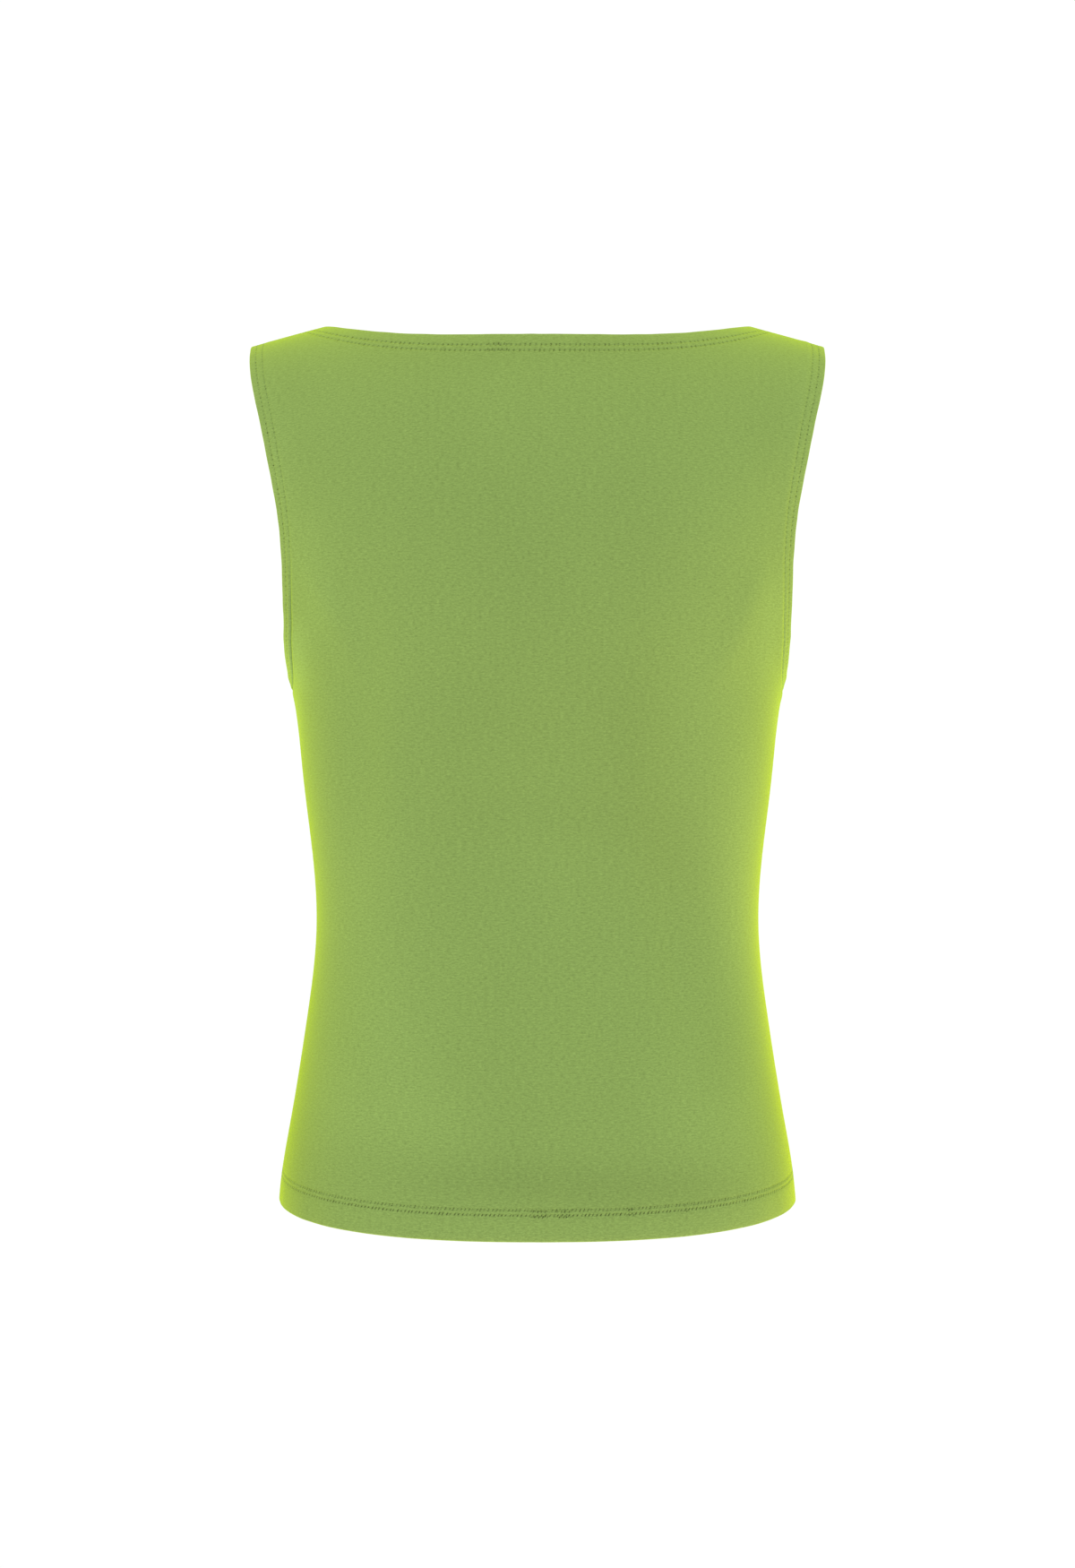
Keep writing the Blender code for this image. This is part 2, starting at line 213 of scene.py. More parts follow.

# Painted light and shade: soft patches where the worn cloth's colour is painted a little lighter or darker
# for the light and shade that fall on it, placed as the creases are.
LightAndShadePatch = namedtuple("LightAndShadePatch", "across height length width lean change")
PAINTED_LIGHT_AND_SHADE = {
    "back": (
        LightAndShadePatch(-0.092, -0.366, 0.080, 0.030, 0, 0.075),
        LightAndShadePatch(0.064, -0.262, 0.065, 0.024, -4, -0.070),
        LightAndShadePatch(0.000, -0.284, 0.055, 0.016, 92, -0.035),
        LightAndShadePatch(0.030, -0.487, 0.110, 0.014, 90, -0.100),
        LightAndShadePatch(-0.085, -0.447, 0.050, 0.020, 84, 0.050),
        LightAndShadePatch(0.100, -0.447, 0.040, 0.018, 96, 0.040),
        LightAndShadePatch(0.000, -0.020, 0.095, 0.013, 90, -0.055),
        LightAndShadePatch(-0.172, -0.436, 0.088, 0.034, 0, -0.270),
        LightAndShadePatch(0.182, -0.462, 0.060, 0.032, 0, -0.180),
        LightAndShadePatch(-0.152, -0.192, 0.020, 0.010, 0, 0.160),
        LightAndShadePatch(0.000, -0.185, 0.085, 0.080, 0, -0.045),
        LightAndShadePatch(-0.160, -0.072, 0.050, 0.013, -8, 0.070),
        LightAndShadePatch(0.160, -0.060, 0.050, 0.013, 8, 0.080),
        LightAndShadePatch(-0.135, -0.145, 0.032, 0.018, 0, 0.070),
        LightAndShadePatch(0.146, -0.178, 0.032, 0.014, 0, 0.080),
        LightAndShadePatch(0.128, -0.318, 0.070, 0.020, 0, 0.070),
        LightAndShadePatch(-0.174, -0.215, 0.040, 0.013, 0, 0.300),
        LightAndShadePatch(0.175, -0.206, 0.034, 0.013, 0, 0.320),
    ),
    "front": (
        LightAndShadePatch(0.088, -0.370, 0.080, 0.030, 0, 0.060),
        LightAndShadePatch(-0.060, -0.270, 0.065, 0.024, 4, -0.050),
        LightAndShadePatch(-0.020, -0.490, 0.110, 0.014, 90, -0.080),
        LightAndShadePatch(-0.173, -0.436, 0.088, 0.034, 0, -0.270),
        LightAndShadePatch(0.183, -0.462, 0.060, 0.032, 0, -0.180),
        LightAndShadePatch(-0.187, -0.215, 0.040, 0.013, 0, 0.300),
        LightAndShadePatch(0.188, -0.206, 0.034, 0.013, 0, 0.320),
    ),
}

# Places where a seam's end was sewn over its start: edge, panel, from and to along it from the centre, how
# far the second pass lies beside the first, and its share of a stitch ahead.
Overlap = namedtuple("Overlap", "edge panel start end aside ahead")
OVERLAPS = (
    Overlap("neck", "back", -0.0265, -0.0165, -0.0004, 0.45),
    Overlap("hem", "back", -0.0030, 0.0062, 0.0004, 0.50),
    Overlap("hem", "back", 0.0100, 0.0172, -0.0003, 0.40),
    Overlap("hem", "back", 0.0500, 0.0530, 0.0004, 0.50),
    Overlap("hem", "back", 0.0835, 0.0865, -0.0004, 0.45),
)
SECOND_PASS_DEPTH = -0.0001  # it lies over the first pass
SECOND_PASS_MARKS = (0.0006, 0.0006, 0.45)  # place of its needle marks, painted shade in its dents, from the first pass's, the last in stitches

# Threads inside, in shares of a stitch: where they start to slant, and how far the looper and overlock run
THREAD_START = 0.1
LOOPER_RUN = 0.42
OVERLOCK_RUN = 0.45
SLANTING_THREAD = {"Sides": 4, "Steps": 4, "Reach": 1.05, "Turn": 0.1}

# Allowances of the side and shoulder seams, pressed to the back
LAYER_GAP = 0.00015
ALLOWANCE_START = 0.0012  # the seam itself lies this far inside the joint, where the cloth dips
ALLOWANCE_COLUMNS = 5
TURNING_GAP = 0.0006  # between an allowance's end and a turning
SEAM_POINTS = {"side": 60, "shoulder": 30}
OVERLOCK_PITCH = 0.0026
OVERLOCK_WIDTHS = (0.0022, 0.0061)  # how far from the seam the overlock thread starts and turns round

# Each panel's flat cut, with its turnings: width and length of the cloth it is cut from, and its own area.
Cut = namedtuple("Cut", "size area")

# Knit, as the materials draw it. Scales are in features to a metre, across and along the cloth.
DRIFT_SCALE = 55.0
WALE_DRIFT = 0.8  # how far the columns of loops wander, in columns
COURSE_DRIFT = 0.6  # and the rows, in rows
LOOP_SLANT = 1.3  # of a loop's legs, in rows over a column
LOOP_DEPTH = 0.3  # how much the links along a column show on the face
BACK_BOW = 0.22  # how far the back's rows wave, in rows
BACK_DEPTH = 0.45
FINE_FLECKS = (710.0, 1650.0, 1.0)
SHORT_FLECKS = (330.0, 1150.0, 1.0)
SHORT_SHARE = 0.4
ZONES = (13.0, 7.5, 1.0)
THREAD_TWIST = (5200.0, 5200.0, 3600.0)  # along each axis of the whole part

# Shading of the cloth, in shares of its colour: random zones, painted light and shade on the knit's loops,
# and painted shade at the needle marks and along the rows of stitches
ZONE_SHADES = (0.975, 1.025)
# painted light and shade on the knit: darker in the hollows between the loops, lighter on their tops
LOOP_PAINTED_SHADES = (0.94, 1.03)
# painted shade in the dents where the needles pull the cloth in
MARK_PAINTED_SHADE = -0.85
# painted shade along each row of stitches, where it presses in
ROW_PAINTED_SHADE = -0.05
FLECK_HEIGHT = 0.9  # against the loops' height
MARK_DEPTH = 2.4

# Light and floor: low warm lights on both sides, whose power the settings hold
Softbox = namedtuple("Softbox", "name across power colour")
SOFTBOXES = (
    Softbox("left_softbox", -0.75, "left_light", (1.0, 0.78, 0.4)),
    Softbox("right_softbox", 0.75, "right_light", (1.0, 0.68, 0.3)),
)
SOFTBOX_SIZE = 0.6
SOFTBOX_BACK = -0.1
FLOOR_SIZE = 1200.0
SENSOR_WIDTH = 36.0


def spline(heights, values):
    """Smooth curve through the values, with no bend at its two ends."""
    heights = np.array(heights)
    values = np.array(values)
    count = len(heights)
    gaps = np.diff(heights)
    rises = np.diff(values) / gaps
    matrix = np.eye(count)
    right = np.zeros(count)
    for k in range(1, count - 1):
        matrix[k, k - 1 : k + 2] = gaps[k - 1], 2 * (gaps[k - 1] + gaps[k]), gaps[k]
        right[k] = 6 * (rises[k] - rises[k - 1])
    bends = np.linalg.solve(matrix, right)

    def curve(height):
        k = np.clip(np.searchsorted(heights, height) - 1, 0, count - 2)
        after = height - heights[k]
        before = heights[k + 1] - height
        gap = gaps[k]
        cubic = (bends[k] * before**3 + bends[k + 1] * after**3) / (6 * gap)
        low = (values[k] / gap - bends[k] * gap / 6) * before
        high = (values[k + 1] / gap - bends[k + 1] * gap / 6) * after
        return cubic + low + high

    return curve


LEVELS = [section.level for section in SECTIONS]
half_width_at = spline(LEVELS, [section.half_width for section in SECTIONS])
fullness_at = spline(LEVELS, [section.fullness for section in SECTIONS])
depth_at = {
    panel.name: spline(LEVELS, [getattr(section, panel.depth_column) for section in SECTIONS])
    for panel in PANELS
}


def length_of(vectors):
    return np.linalg.norm(vectors, axis=-1, keepdims=True)


def bell(distance, width):
    """1 at the middle, falling away on both sides over about this width."""
    return np.exp(-((distance / width) ** 2))


def side_of(angle):
    """1 on the wearer's right and -1 on the left."""
    return np.where(angle < 0, -1.0, 1.0)


def by_side(values, sign):
    """The right side's or the left side's value at each point."""
    return np.where(sign > 0, values[1], values[-1])


def shoulder_height(x):
    soft_neck = math.hypot(NECK_HALF_WIDTH, SHOULDER_SOFTNESS)
    return SHOULDER_SLOPE * (soft_neck - np.hypot(x, SHOULDER_SOFTNESS))


def rounded(share, level):
    return np.copysign(np.abs(share) ** (2 / fullness_at(level)), share)


def form_point(panel, angle, level):
    """Points of the solids' outer face. The angle is 0 at the centre and a right angle at the side seam."""
    angle, level = np.broadcast_arrays(np.asarray(angle, float), np.asarray(level, float))
    turn = np.where(level > ROLL_START, (1 - level / ROLL_START) * np.pi / 2, 0.0)
    x = half_width_at(level) * rounded(np.sin(angle), level)
    y = panel.side * depth_at[panel.name](level) * rounded(np.cos(angle), level) * np.cos(turn)
    z = np.where(turn > 0, ROLL_START + (shoulder_height(x) - ROLL_START) * np.sin(turn), level)
    return np.stack((x, y, z), axis=-1)


def form_slopes(panel, angle, level):
    across = form_point(panel, angle + PROBE, level) - form_point(panel, angle - PROBE, level)
    upward = form_point(panel, angle, level + PROBE) - form_point(panel, angle, level - PROBE)
    return across / (2 * PROBE), upward / (2 * PROBE)


def form_normal(panel, angle, level):
    normal = np.cross(*form_slopes(panel, angle, level))
    return normal / length_of(normal) * -panel.side


def travel(panel, angle, level, way):
    """Angles and levels reached by going the way, a vector for each point, along the cloth."""
    step = way / TRAVEL_STEPS
    for _ in range(TRAVEL_STEPS):
        across, upward = form_slopes(panel, angle, level)
        a = (across * across).sum(-1)
        b = (across * upward).sum(-1)
        c = (upward * upward).sum(-1)
        d = (across * step).sum(-1)
        e = (upward * step).sum(-1)
        size = a * c - b * b
        angle = angle + (c * d - b * e) / size
        level = level + (a * e - b * d) / size
    return angle, level


def neckline(panel, share):
    """Angle and level on the neckline, from the centre at share 0 to the neck point at share 1."""
    swing = share * np.pi / 2
    power = 2 / panel.neck_roundness
    x = NECK_HALF_WIDTH * np.sin(swing) ** power
    reach = panel.neck_reach * np.maximum(np.cos(swing), 0.0) ** power
    low = np.full(x.shape, ROLL_START)
    high = np.zeros(x.shape)
    for _ in range(HALVINGS):
        level = (low + high) / 2
        angle = np.arcsin(x / half_width_at(level))
        far = np.abs(form_point(panel, angle, level)[..., 1]) > reach
        low = np.where(far, level, low)
        high = np.where(far, high, level)
    return np.arcsin(x / half_width_at(high)), high


def armhole(panel, share):
    """Angle and level on the armhole's edge, from the underarm at share 0 to the shoulder tip at share 1."""
    swing = share * np.pi / 2
    tip_angle = math.asin(TIP_HALF_WIDTH / half_width_at(0.0))
    turned = np.sin(swing) ** (2 / UNDERARM_ROUNDNESS)
    level = UNDERARM * np.maximum(np.cos(swing), 0.0) ** (2 / STRAP_ROUNDNESS)
    return np.pi / 2 - (np.pi / 2 - tip_angle) * turned, level


def hemline(panel, share):
    angle = share * np.pi / 2
    return angle, HEM_SIDE - panel.hem_drop * np.abs(rounded(np.cos(angle), HEM_SIDE)) ** HEM_EASE


EDGE_RULES = {"neck": neckline, "armhole": armhole, "hem": hemline}


class Line:
    """A finished edge on one panel, measured along its length."""

    def __init__(self, panel, edge):
        self.panel = panel
        self.edge = edge
        self.shares = np.linspace(0, 1, EDGE_STEPS + 1)
        self.points = form_point(panel, *EDGE_RULES[edge.name](panel, self.shares))
        steps = length_of(np.diff(self.points, axis=0))[:, 0]
        self.lengths = np.concatenate(([0.0], np.cumsum(steps)))
        self.total = self.lengths[-1]

    def at(self, along):
        share = np.interp(along, self.lengths, self.shares)
        return EDGE_RULES[self.edge.name](self.panel, share)

    def inward(self, along):
        """Unit vectors from the edge into the cloth: square to the edge, and along the seam at its ends."""
        along = np.asarray(along, float)
        angle, level = self.at(along)
        ahead = form_point(self.panel, *self.at(np.minimum(along + EDGE_PROBE, self.total)))
        behind = form_point(self.panel, *self.at(np.maximum(along - EDGE_PROBE, 0.0)))
        tangent = ahead - behind
        across, upward = form_slopes(self.panel, angle, level)
        if self.edge is not ARMHOLE:
            tangent[along <= 0] = 1, 0, 0
        way = np.cross(form_normal(self.panel, angle, level), tangent) * -self.panel.side * self.edge.hand
        last = along >= self.total
        if self.edge is HEM:
            way[last] = upward[last]
        elif self.edge is NECK:
            way[last] = across[last]
        else:
            way[last] = -across[last]
            way[along <= 0] = -upward[along <= 0]
        return way / length_of(way)

    def beside(self, along, distance):
        """Angle and level at a distance from the edge into the cloth. The ends stay on their seams."""
        along = np.asarray(along, float)
        angle, level = self.at(along)
        angle, level = travel(self.panel, angle, level, self.inward(along) * distance)
        last = along >= self.total
        if self.edge is HEM:
            angle = np.where(last, np.pi / 2, angle)
        else:
            level = np.where(last, 0.0, level)
        if self.edge is ARMHOLE:
            angle = np.where(along <= 0, np.pi / 2, angle)
        else:
            angle = np.where(along <= 0, 0.0, angle)
        return angle, level

    def nearest(self, points):
        """Distance from each point to the edge, and how far along it the nearest place lies."""
        start = self.points[:-1]
        run = np.diff(self.points, axis=0)
        square = (run * run).sum(-1)
        distance = np.full(len(points), FAR)
        along = np.zeros(len(points))
        for first in range(0, len(points), CHUNK):
            part = points[first : first + CHUNK]
            offset = part[:, None, :] - start[None, :, :]
            share = np.clip((offset * run).sum(-1) / square, 0, 1)
            gap = np.sqrt((offset * offset).sum(-1) - 2 * share * (offset * run).sum(-1) + share**2 * square)
            best = gap.argmin(1)
            row = np.arange(len(part))
            distance[first : first + CHUNK] = gap[row, best]
            along[first : first + CHUNK] = self.lengths[best] + share[row, best] * np.sqrt(square[best])
        return distance, along


class Chart:
    """The flat map of a panel's half: distance across from the centre and distance up from the bottom."""

    def __init__(self, panel):
        self.levels = np.linspace(SECTIONS[0].level, 0.0, TABLE_STEPS + 1)
        self.angles = np.linspace(0.0, np.pi / 2, TABLE_STEPS + 1)
        points = form_point(panel, self.angles[None, :], self.levels[:, None])
        steps = length_of(np.diff(points, axis=1))[..., 0]
        self.across = np.concatenate((np.zeros((TABLE_STEPS + 1, 1)), np.cumsum(steps, axis=1)), axis=1)
        rises = length_of(np.diff(points[:, 0], axis=0))[:, 0]
        self.upward = np.concatenate(([0.0], np.cumsum(rises)))

    def place(self, angle, level):
        i = np.interp(level, self.levels, np.arange(TABLE_STEPS + 1.0))
        j = np.interp(angle, self.angles, np.arange(TABLE_STEPS + 1.0))
        i0 = np.minimum(i.astype(int), TABLE_STEPS - 1)
        j0 = np.minimum(j.astype(int), TABLE_STEPS - 1)
        u = i - i0
        v = j - j0
        low = self.across[i0, j0] * (1 - v) + self.across[i0, j0 + 1] * v
        high = self.across[i0 + 1, j0] * (1 - v) + self.across[i0 + 1, j0 + 1] * v
        return np.stack((low * (1 - u) + high * u, np.interp(level, self.levels, self.upward)), axis=-1)

    def row(self, up, step, offset):
        """Angles, level and places of a row of points at a distance up, a step apart."""
        i = np.interp(up, self.upward, np.arange(TABLE_STEPS + 1.0))
        i0 = min(int(i), TABLE_STEPS - 1)
        lengths = self.across[i0] * (1 - (i - i0)) + self.across[i0 + 1] * (i - i0)
        across = np.arange(offset, lengths[-1], step)
        return np.interp(across, lengths, self.angles), np.interp(up, self.upward, self.levels), across


def noise_wave(along, wave, seed):
    """Uneven wave between about -1 and 1, made of sines that don't repeat together."""
    phase = along / wave * 2 * np.pi
    return sum(sine.share * np.sin(sine.pace * phase + sine.shift * seed + sine.start) for sine in SINES)


def patch(item, number, across, height):
    """Share, from 0 to 1, of a long soft patch at points by their distance across and height."""
    lean = math.radians(item.lean)
    right = across - item.across
    up = height - item.height
    along = up * math.cos(lean) + right * math.sin(lean)
    aside = right * math.cos(lean) - up * math.sin(lean)
    aside = aside + WINDING * item.width * np.sin(along / item.length * WINDING_PACE + number)
    return np.exp(-((aside / item.width) ** 2) - (along / item.length) ** 4)


def low_down(along):
    """1 on the low part of the armhole, falling to 0 further up."""
    return np.exp(-((along / UNDERARM_REACH) ** 4))


def swelling(swells, sign, height, distance):
    """How far the swells move points at these heights and distances from the armhole's edge."""
    total = np.zeros(len(height))
    for swell in swells:
        here = np.isin(sign, swell.sides) * bell(distance, SWELL_FADE)
        total += swell.rise * here * bell(height - swell.height, swell.length)
    return total


class Cloth:
    """One panel's worn surface: the solids' form with its relief, on both sides of the centre."""

    def __init__(self, panel):
        self.panel = panel
        self.chart = Chart(panel)
        self.lines = {edge.name: Line(panel, edge) for edge in EDGES}

    def edge_places(self, angle, level):
        """For each edge, how far each point lies from it and how far along it."""
        points = form_point(self.panel, np.abs(angle), level)
        return {name: line.nearest(points) for name, line in self.lines.items()}

    def spread_out(self, angle, level):
        """Distance across from the centre and height of each point."""
        across = self.chart.place(np.abs(angle), level)[:, 0] * side_of(angle)
        return across, form_point(self.panel, np.abs(angle), level)[:, 2]

    def tone(self, angle, level, near):
        """Painted light and shade: how much lighter or darker than the rest of the cloth each point's colour
        is painted, with the painted shade of the underarm groove.
        """
        across, height = self.spread_out(angle, level)
        total = np.zeros(len(angle))
        for number, tone in enumerate(PAINTED_LIGHT_AND_SHADE[self.panel.name]):
            total += tone.change * patch(tone, number, across, height)
        # painted shade in the groove low on the armholes
        distance, along = near["armhole"]
        groove = low_down(along) * bell(distance - ARMHOLE.rows[1], UNDERARM_DENT_WIDTH)
        return total + by_side(GROOVE_PAINTED_SHADE, side_of(angle)) * groove

    def second_pass(self, angle, near):
        """Share, from 0 to 1, of a seam's second pass over its first at each point."""
        total = np.zeros(len(angle))
        for overlap in OVERLAPS:
            if overlap.panel == self.panel.name:
                distance, along = near[overlap.edge]
                middle = (overlap.start + overlap.end) / 2
                reach = (overlap.end - overlap.start) / 2
                total += (np.abs(along * side_of(angle) - middle) < reach) * (distance < HEM.turning)
        return np.minimum(total, 1.0)

    def relief(self, angle, level, near):
        """Height of the cloth over the solids' outer face."""
        sign = side_of(angle)
        points = form_point(self.panel, np.abs(angle), level)
        across, height = self.spread_out(angle, level)
        total = self.creases(across, height, near)
        for number, edge in enumerate(EDGES):
            total += self.stitched_edge(number, edge, sign, *near[edge.name])
        total += self.underarm(sign, *near["armhole"])
        total += swelling(SWELLS, sign, height, near["armhole"][0])
        for corner in CORNERS:
            tip = self.lines[corner.edge].points[-1]
            away = length_of(points - tip)[:, 0]
            total -= corner.give * np.isin(sign, corner.sides) * bell(away, corner.width)
        to_shoulder = np.where(level > ROLL_START, np.abs(points[:, 1]), FAR)
        to_side = np.where(level <= UNDERARM, np.abs(points[:, 1]), FAR)
        return total - SEAM_DENT * bell(np.minimum(to_shoulder, to_side), SEAM_DENT_WIDTH)

    def creases(self, across, height, near):
        """The creases, which the stitched edges hold flat."""
        total = np.zeros(len(across))
        for number, crease in enumerate(CREASES[self.panel.name]):
            total += crease.rise * patch(crease, number, across, height)
        for edge in EDGES:
            distance, _ = near[edge.name]
            total *= 1 - bell(distance, edge.turning * CALM_REACH)
        return total

    def stitched_edge(self, number, edge, sign, distance, along):
        """Puckers of a stitched edge, and the dents of its two rows."""
        pucker = PUCKERS[edge.name]
        seed = number + SIDE_SEED * sign + FRONT_SEED * (self.panel is FRONT)
        mean, change = PUCKER_SIZE
        size = mean + change * noise_wave(along, pucker.wave * PUCKER_CHANGE, seed + SIZE_SEED)
        wave = noise_wave(along * sign, pucker.wave, seed)
        total = pucker.height * size * wave * bell(distance, pucker.fade)
        for row in edge.rows:
            total -= ROW_DENT * bell(distance - row, ROW_DENT_WIDTH)
        return total

    def underarm(self, sign, distance, along):
        """The deeper pull of the inner row low on the armhole, and the ridge beside it."""
        aside = distance - ARMHOLE.rows[1]
        dent = by_side(UNDERARM_DENT, sign) * low_down(along) * bell(aside, UNDERARM_DENT_WIDTH)
        ridge = by_side(UNDERARM_RIDGE, sign) * bell(aside - UNDERARM_RIDGE_ASIDE, UNDERARM_RIDGE_WIDTH)
        return ridge - dent

    def surface(self, angle, level, depth=0.0, near=None):
        """Points of the cloth at a depth under its outer face, and its normals there."""
        sign = side_of(angle)
        points = form_point(self.panel, np.abs(angle), level)
        normal = form_normal(self.panel, np.abs(angle), level)
        near = near or self.edge_places(angle, level)
        lift = self.relief(angle, level, near) - depth
        pull = swelling(PULLS, sign, points[:, 2], near["armhole"][0])
        points = points + normal * lift[:, None]
        points[:, 0] += pull
        points[:, 0] *= sign
        normal[:, 0] *= sign
        return points, normal


def line_distances(edge, first):
    """Distances from the edge of the lines of points along it."""
    near = [row + shift for row in edge.rows for shift in ROW_LINES]
    before = np.linspace(first, near[0], LINES_BEFORE_ROWS + 1)[:-1]
    between = (near[len(ROW_LINES) - 1] + near[len(ROW_LINES)]) / 2
    beyond = [near[-1] + step for step in LINES_PAST_ROWS]
    return np.array(sorted([*before, *near, between, *beyond]))


def run_distances(total, centred):
    """Distances along an edge of its points, closer together beside a seam."""
    start = [0.0] if centred else [0.0, *SEAM_STEPS]
    end = [total - step for step in reversed(SEAM_STEPS)] + [total]
    first = start[-1]
    count = round((end[0] - first) / ROW_STEP)
    return np.array(start[:-1] + list(np.linspace(first, end[0], count + 1)) + end[1:])


def spread(first, last, step):
    """Numbers between two ends, without them, about a step apart."""
    count = max(1, round(abs(last - first) / step))
    return np.linspace(first, last, count + 1)[1:-1]


class HalfPanel:
    """Points and faces of a panel from its centre to the side, before it is mirrored."""

    def __init__(self, cloth, thickness, fold_radius):
        self.cloth = cloth
        self.panel = cloth.panel
        self.middle = thickness / 2
        self.fold = fold_radius
        self.edge_inset = thickness / 2 + fold_radius
        self.angle = []
        self.level = []
        self.depth = []
        self.out = []
        self.place = []
        self.faces = []
        self.bands = {}

    def add(self, angle, level, depth, out=None, place=None):
        angle, level = np.broadcast_arrays(np.asarray(angle, float), np.asarray(level, float))
        first = sum(len(part) for part in self.angle)
        size = angle.size
        self.angle.append(angle.ravel())
        self.level.append(level.ravel())
        self.depth.append(np.full(size, depth))
        self.out.append(np.zeros((size, 3)) if out is None else out.reshape(-1, 3))
        if place is None:
            place = self.cloth.chart.place(angle.ravel(), level.ravel())
        self.place.append(place.reshape(-1, 2))
        return (first + np.arange(size)).reshape(angle.shape)

    def sheet(self):
        """The panel inside its finished edges."""
        band = {}
        for edge in EDGES:
            line = self.cloth.lines[edge.name]
            along = run_distances(line.total, edge is not ARMHOLE)
            distances = line_distances(edge, self.edge_inset)
            lines = [self.add(*line.beside(along, distance), self.middle) for distance in distances]
            band[edge.name] = np.array(lines)
            self.bands[edge.name] = along, lines[0]
        ring, side, top = self.outline(band)
        self.seam_lines(side, top)
        self.add_lattice(ring)
        self.fill(band, ring)

    def outline(self, band):
        """The ring of points round the sheet, and the levels and angles of those on its two seams."""
        levels = np.concatenate(self.level)
        angles = np.concatenate(self.angle)
        side = spread(levels[band["hem"][-1, -1]], levels[band["armhole"][-1, 0]], CELL)
        middle = spread(levels[band["hem"][-1, 0]], levels[band["neck"][-1, 0]], CELL)
        ends = angles[band["neck"][-1, -1]], angles[band["armhole"][-1, -1]]
        span = abs(ends[1] - ends[0]) * half_width_at(0.0) * math.cos(sum(ends) / 2)
        top = np.linspace(*ends, round(span / ROW_STEP) + 1)[1:-1]
        side_line = self.add(np.full(side.shape, np.pi / 2), side, self.middle)
        centre_line = self.add(np.zeros(middle.shape), middle, self.middle)
        top_line = self.add(top, np.zeros(top.shape), self.middle)
        ring = [
            *band["hem"][0],
            *band["hem"][1:, -1],
            *side_line,
            *band["armhole"][:0:-1, 0],
            *band["armhole"][0],
            *band["armhole"][1:, -1],
            *top_line[::-1],
            *band["neck"][:0:-1, -1],
            *band["neck"][0, ::-1],
            *band["neck"][1:, 0],
            *centre_line[::-1],
            *band["hem"][:0:-1, 0],
        ]
        return [int(k) for k in ring], side, top

    def seam_lines(self, side, top):
        """Lines of points beside the side and shoulder seams."""
        for step in SEAM_STEPS:
            corner = np.full(side.shape, np.pi / 2)
            across, _ = form_slopes(self.panel, corner, side)
            self.add(*travel(self.panel, corner, side, -across / length_of(across) * step), self.middle)
            flat = np.zeros(top.shape)
            _, upward = form_slopes(self.panel, top, flat)
            self.add(*travel(self.panel, top, flat, -upward / length_of(upward) * step), self.middle)

    def fill(self, band, ring):
        """Faces between all the points inside the ring, in the flat chart."""
        edges = []
        for lines in band.values():
            for line in lines[1:]:
                edges += [(int(a), int(b)) for a, b in zip(line, line[1:])]
        places = [Vector(place) for place in np.concatenate(self.place)]
        made = delaunay_2d_cdt(places, edges, [ring], 1, SAME_POINT)
        source = [origins[0] for origins in made[3]]
        if len(made[0]) != len(places):
            raise RuntimeError(f"{self.panel.name}: {len(made[0])} points for {len(places)} in the panel")
        self.faces += [tuple(source[k] for k in face) for face in made[2]]

    def add_lattice(self, ring):
        """Points in even rows inside the ring, clear of the lines of points."""
        placed = np.concatenate(self.place)
        tree = KDTree(len(placed))
        for number, place in enumerate(placed):
            tree.insert((*place, 0.0), number)
        tree.balance()
        outline = placed[ring]
        after = np.roll(outline, -1, axis=0)
        height = CELL * math.sqrt(3) / 2
        rows = np.arange(outline[:, 1].min(), outline[:, 1].max(), height)
        for number, up in enumerate(rows):
            angle, level, across = self.cloth.chart.row(up, CELL, CELL * (0.5 if number % 2 else 0.0))
            crossing = (outline[:, 1] > up) != (after[:, 1] > up)
            first, second = outline[crossing], after[crossing]
            share = (up - first[:, 1]) / (second[:, 1] - first[:, 1])
            cuts = first[:, 0] + share * (second[:, 0] - first[:, 0])
            inside = (cuts[None, :] > across[:, None]).sum(1) % 2 == 1
            clear = [tree.find((x, up, 0.0))[2] > CLEARANCE * CELL for x in across]
            keep = inside & np.array(clear)
            self.add(angle[keep], np.full(keep.sum(), level), self.middle)

    def turn_in(self, edge):
        """The fold round a finished edge and the layer behind it, from the edge line's own points."""
        line = self.cloth.lines[edge.name]
        along, first = self.bands[edge.name]
        outward = -line.inward(along)
        angle, level = line.beside(along, self.edge_inset)
        edge_place = self.cloth.chart.place(angle, level)
        inner_place = self.cloth.chart.place(*line.beside(along, 2 * self.edge_inset))
        away = edge_place - inner_place
        away = away / length_of(away)
        rows = [first]
        for step in range(1, FOLD_STEPS + 1):
            swing = math.pi * step / FOLD_STEPS
            depth = self.middle + self.fold * (1 - math.cos(swing))
            out = outward * self.fold * math.sin(swing)
            place = edge_place + away * self.fold * swing
            rows.append(self.add(angle, level, depth, out, place))
        rounds = math.pi * self.fold
        count = round((edge.turning - self.edge_inset) / TURNING_STEP)
        for distance in np.linspace(self.edge_inset, edge.turning, count + 1)[1:]:
            inner = line.beside(along, distance)
            place = 2 * edge_place - self.cloth.chart.place(*inner) + away * rounds
            rows.append(self.add(*inner, self.middle + 2 * self.fold, None, place))
        for upper, lower in zip(rows, rows[1:]):
            for k in range(len(along) - 1):
                face = (upper[k + 1], upper[k], lower[k], lower[k + 1])
                self.faces.append(tuple(int(v) for v in (face if edge.hand > 0 else face[::-1])))

    def arrays(self):
        parts = self.angle, self.level, self.depth, self.out, self.place
        return (*(np.concatenate(part) for part in parts), self.faces)


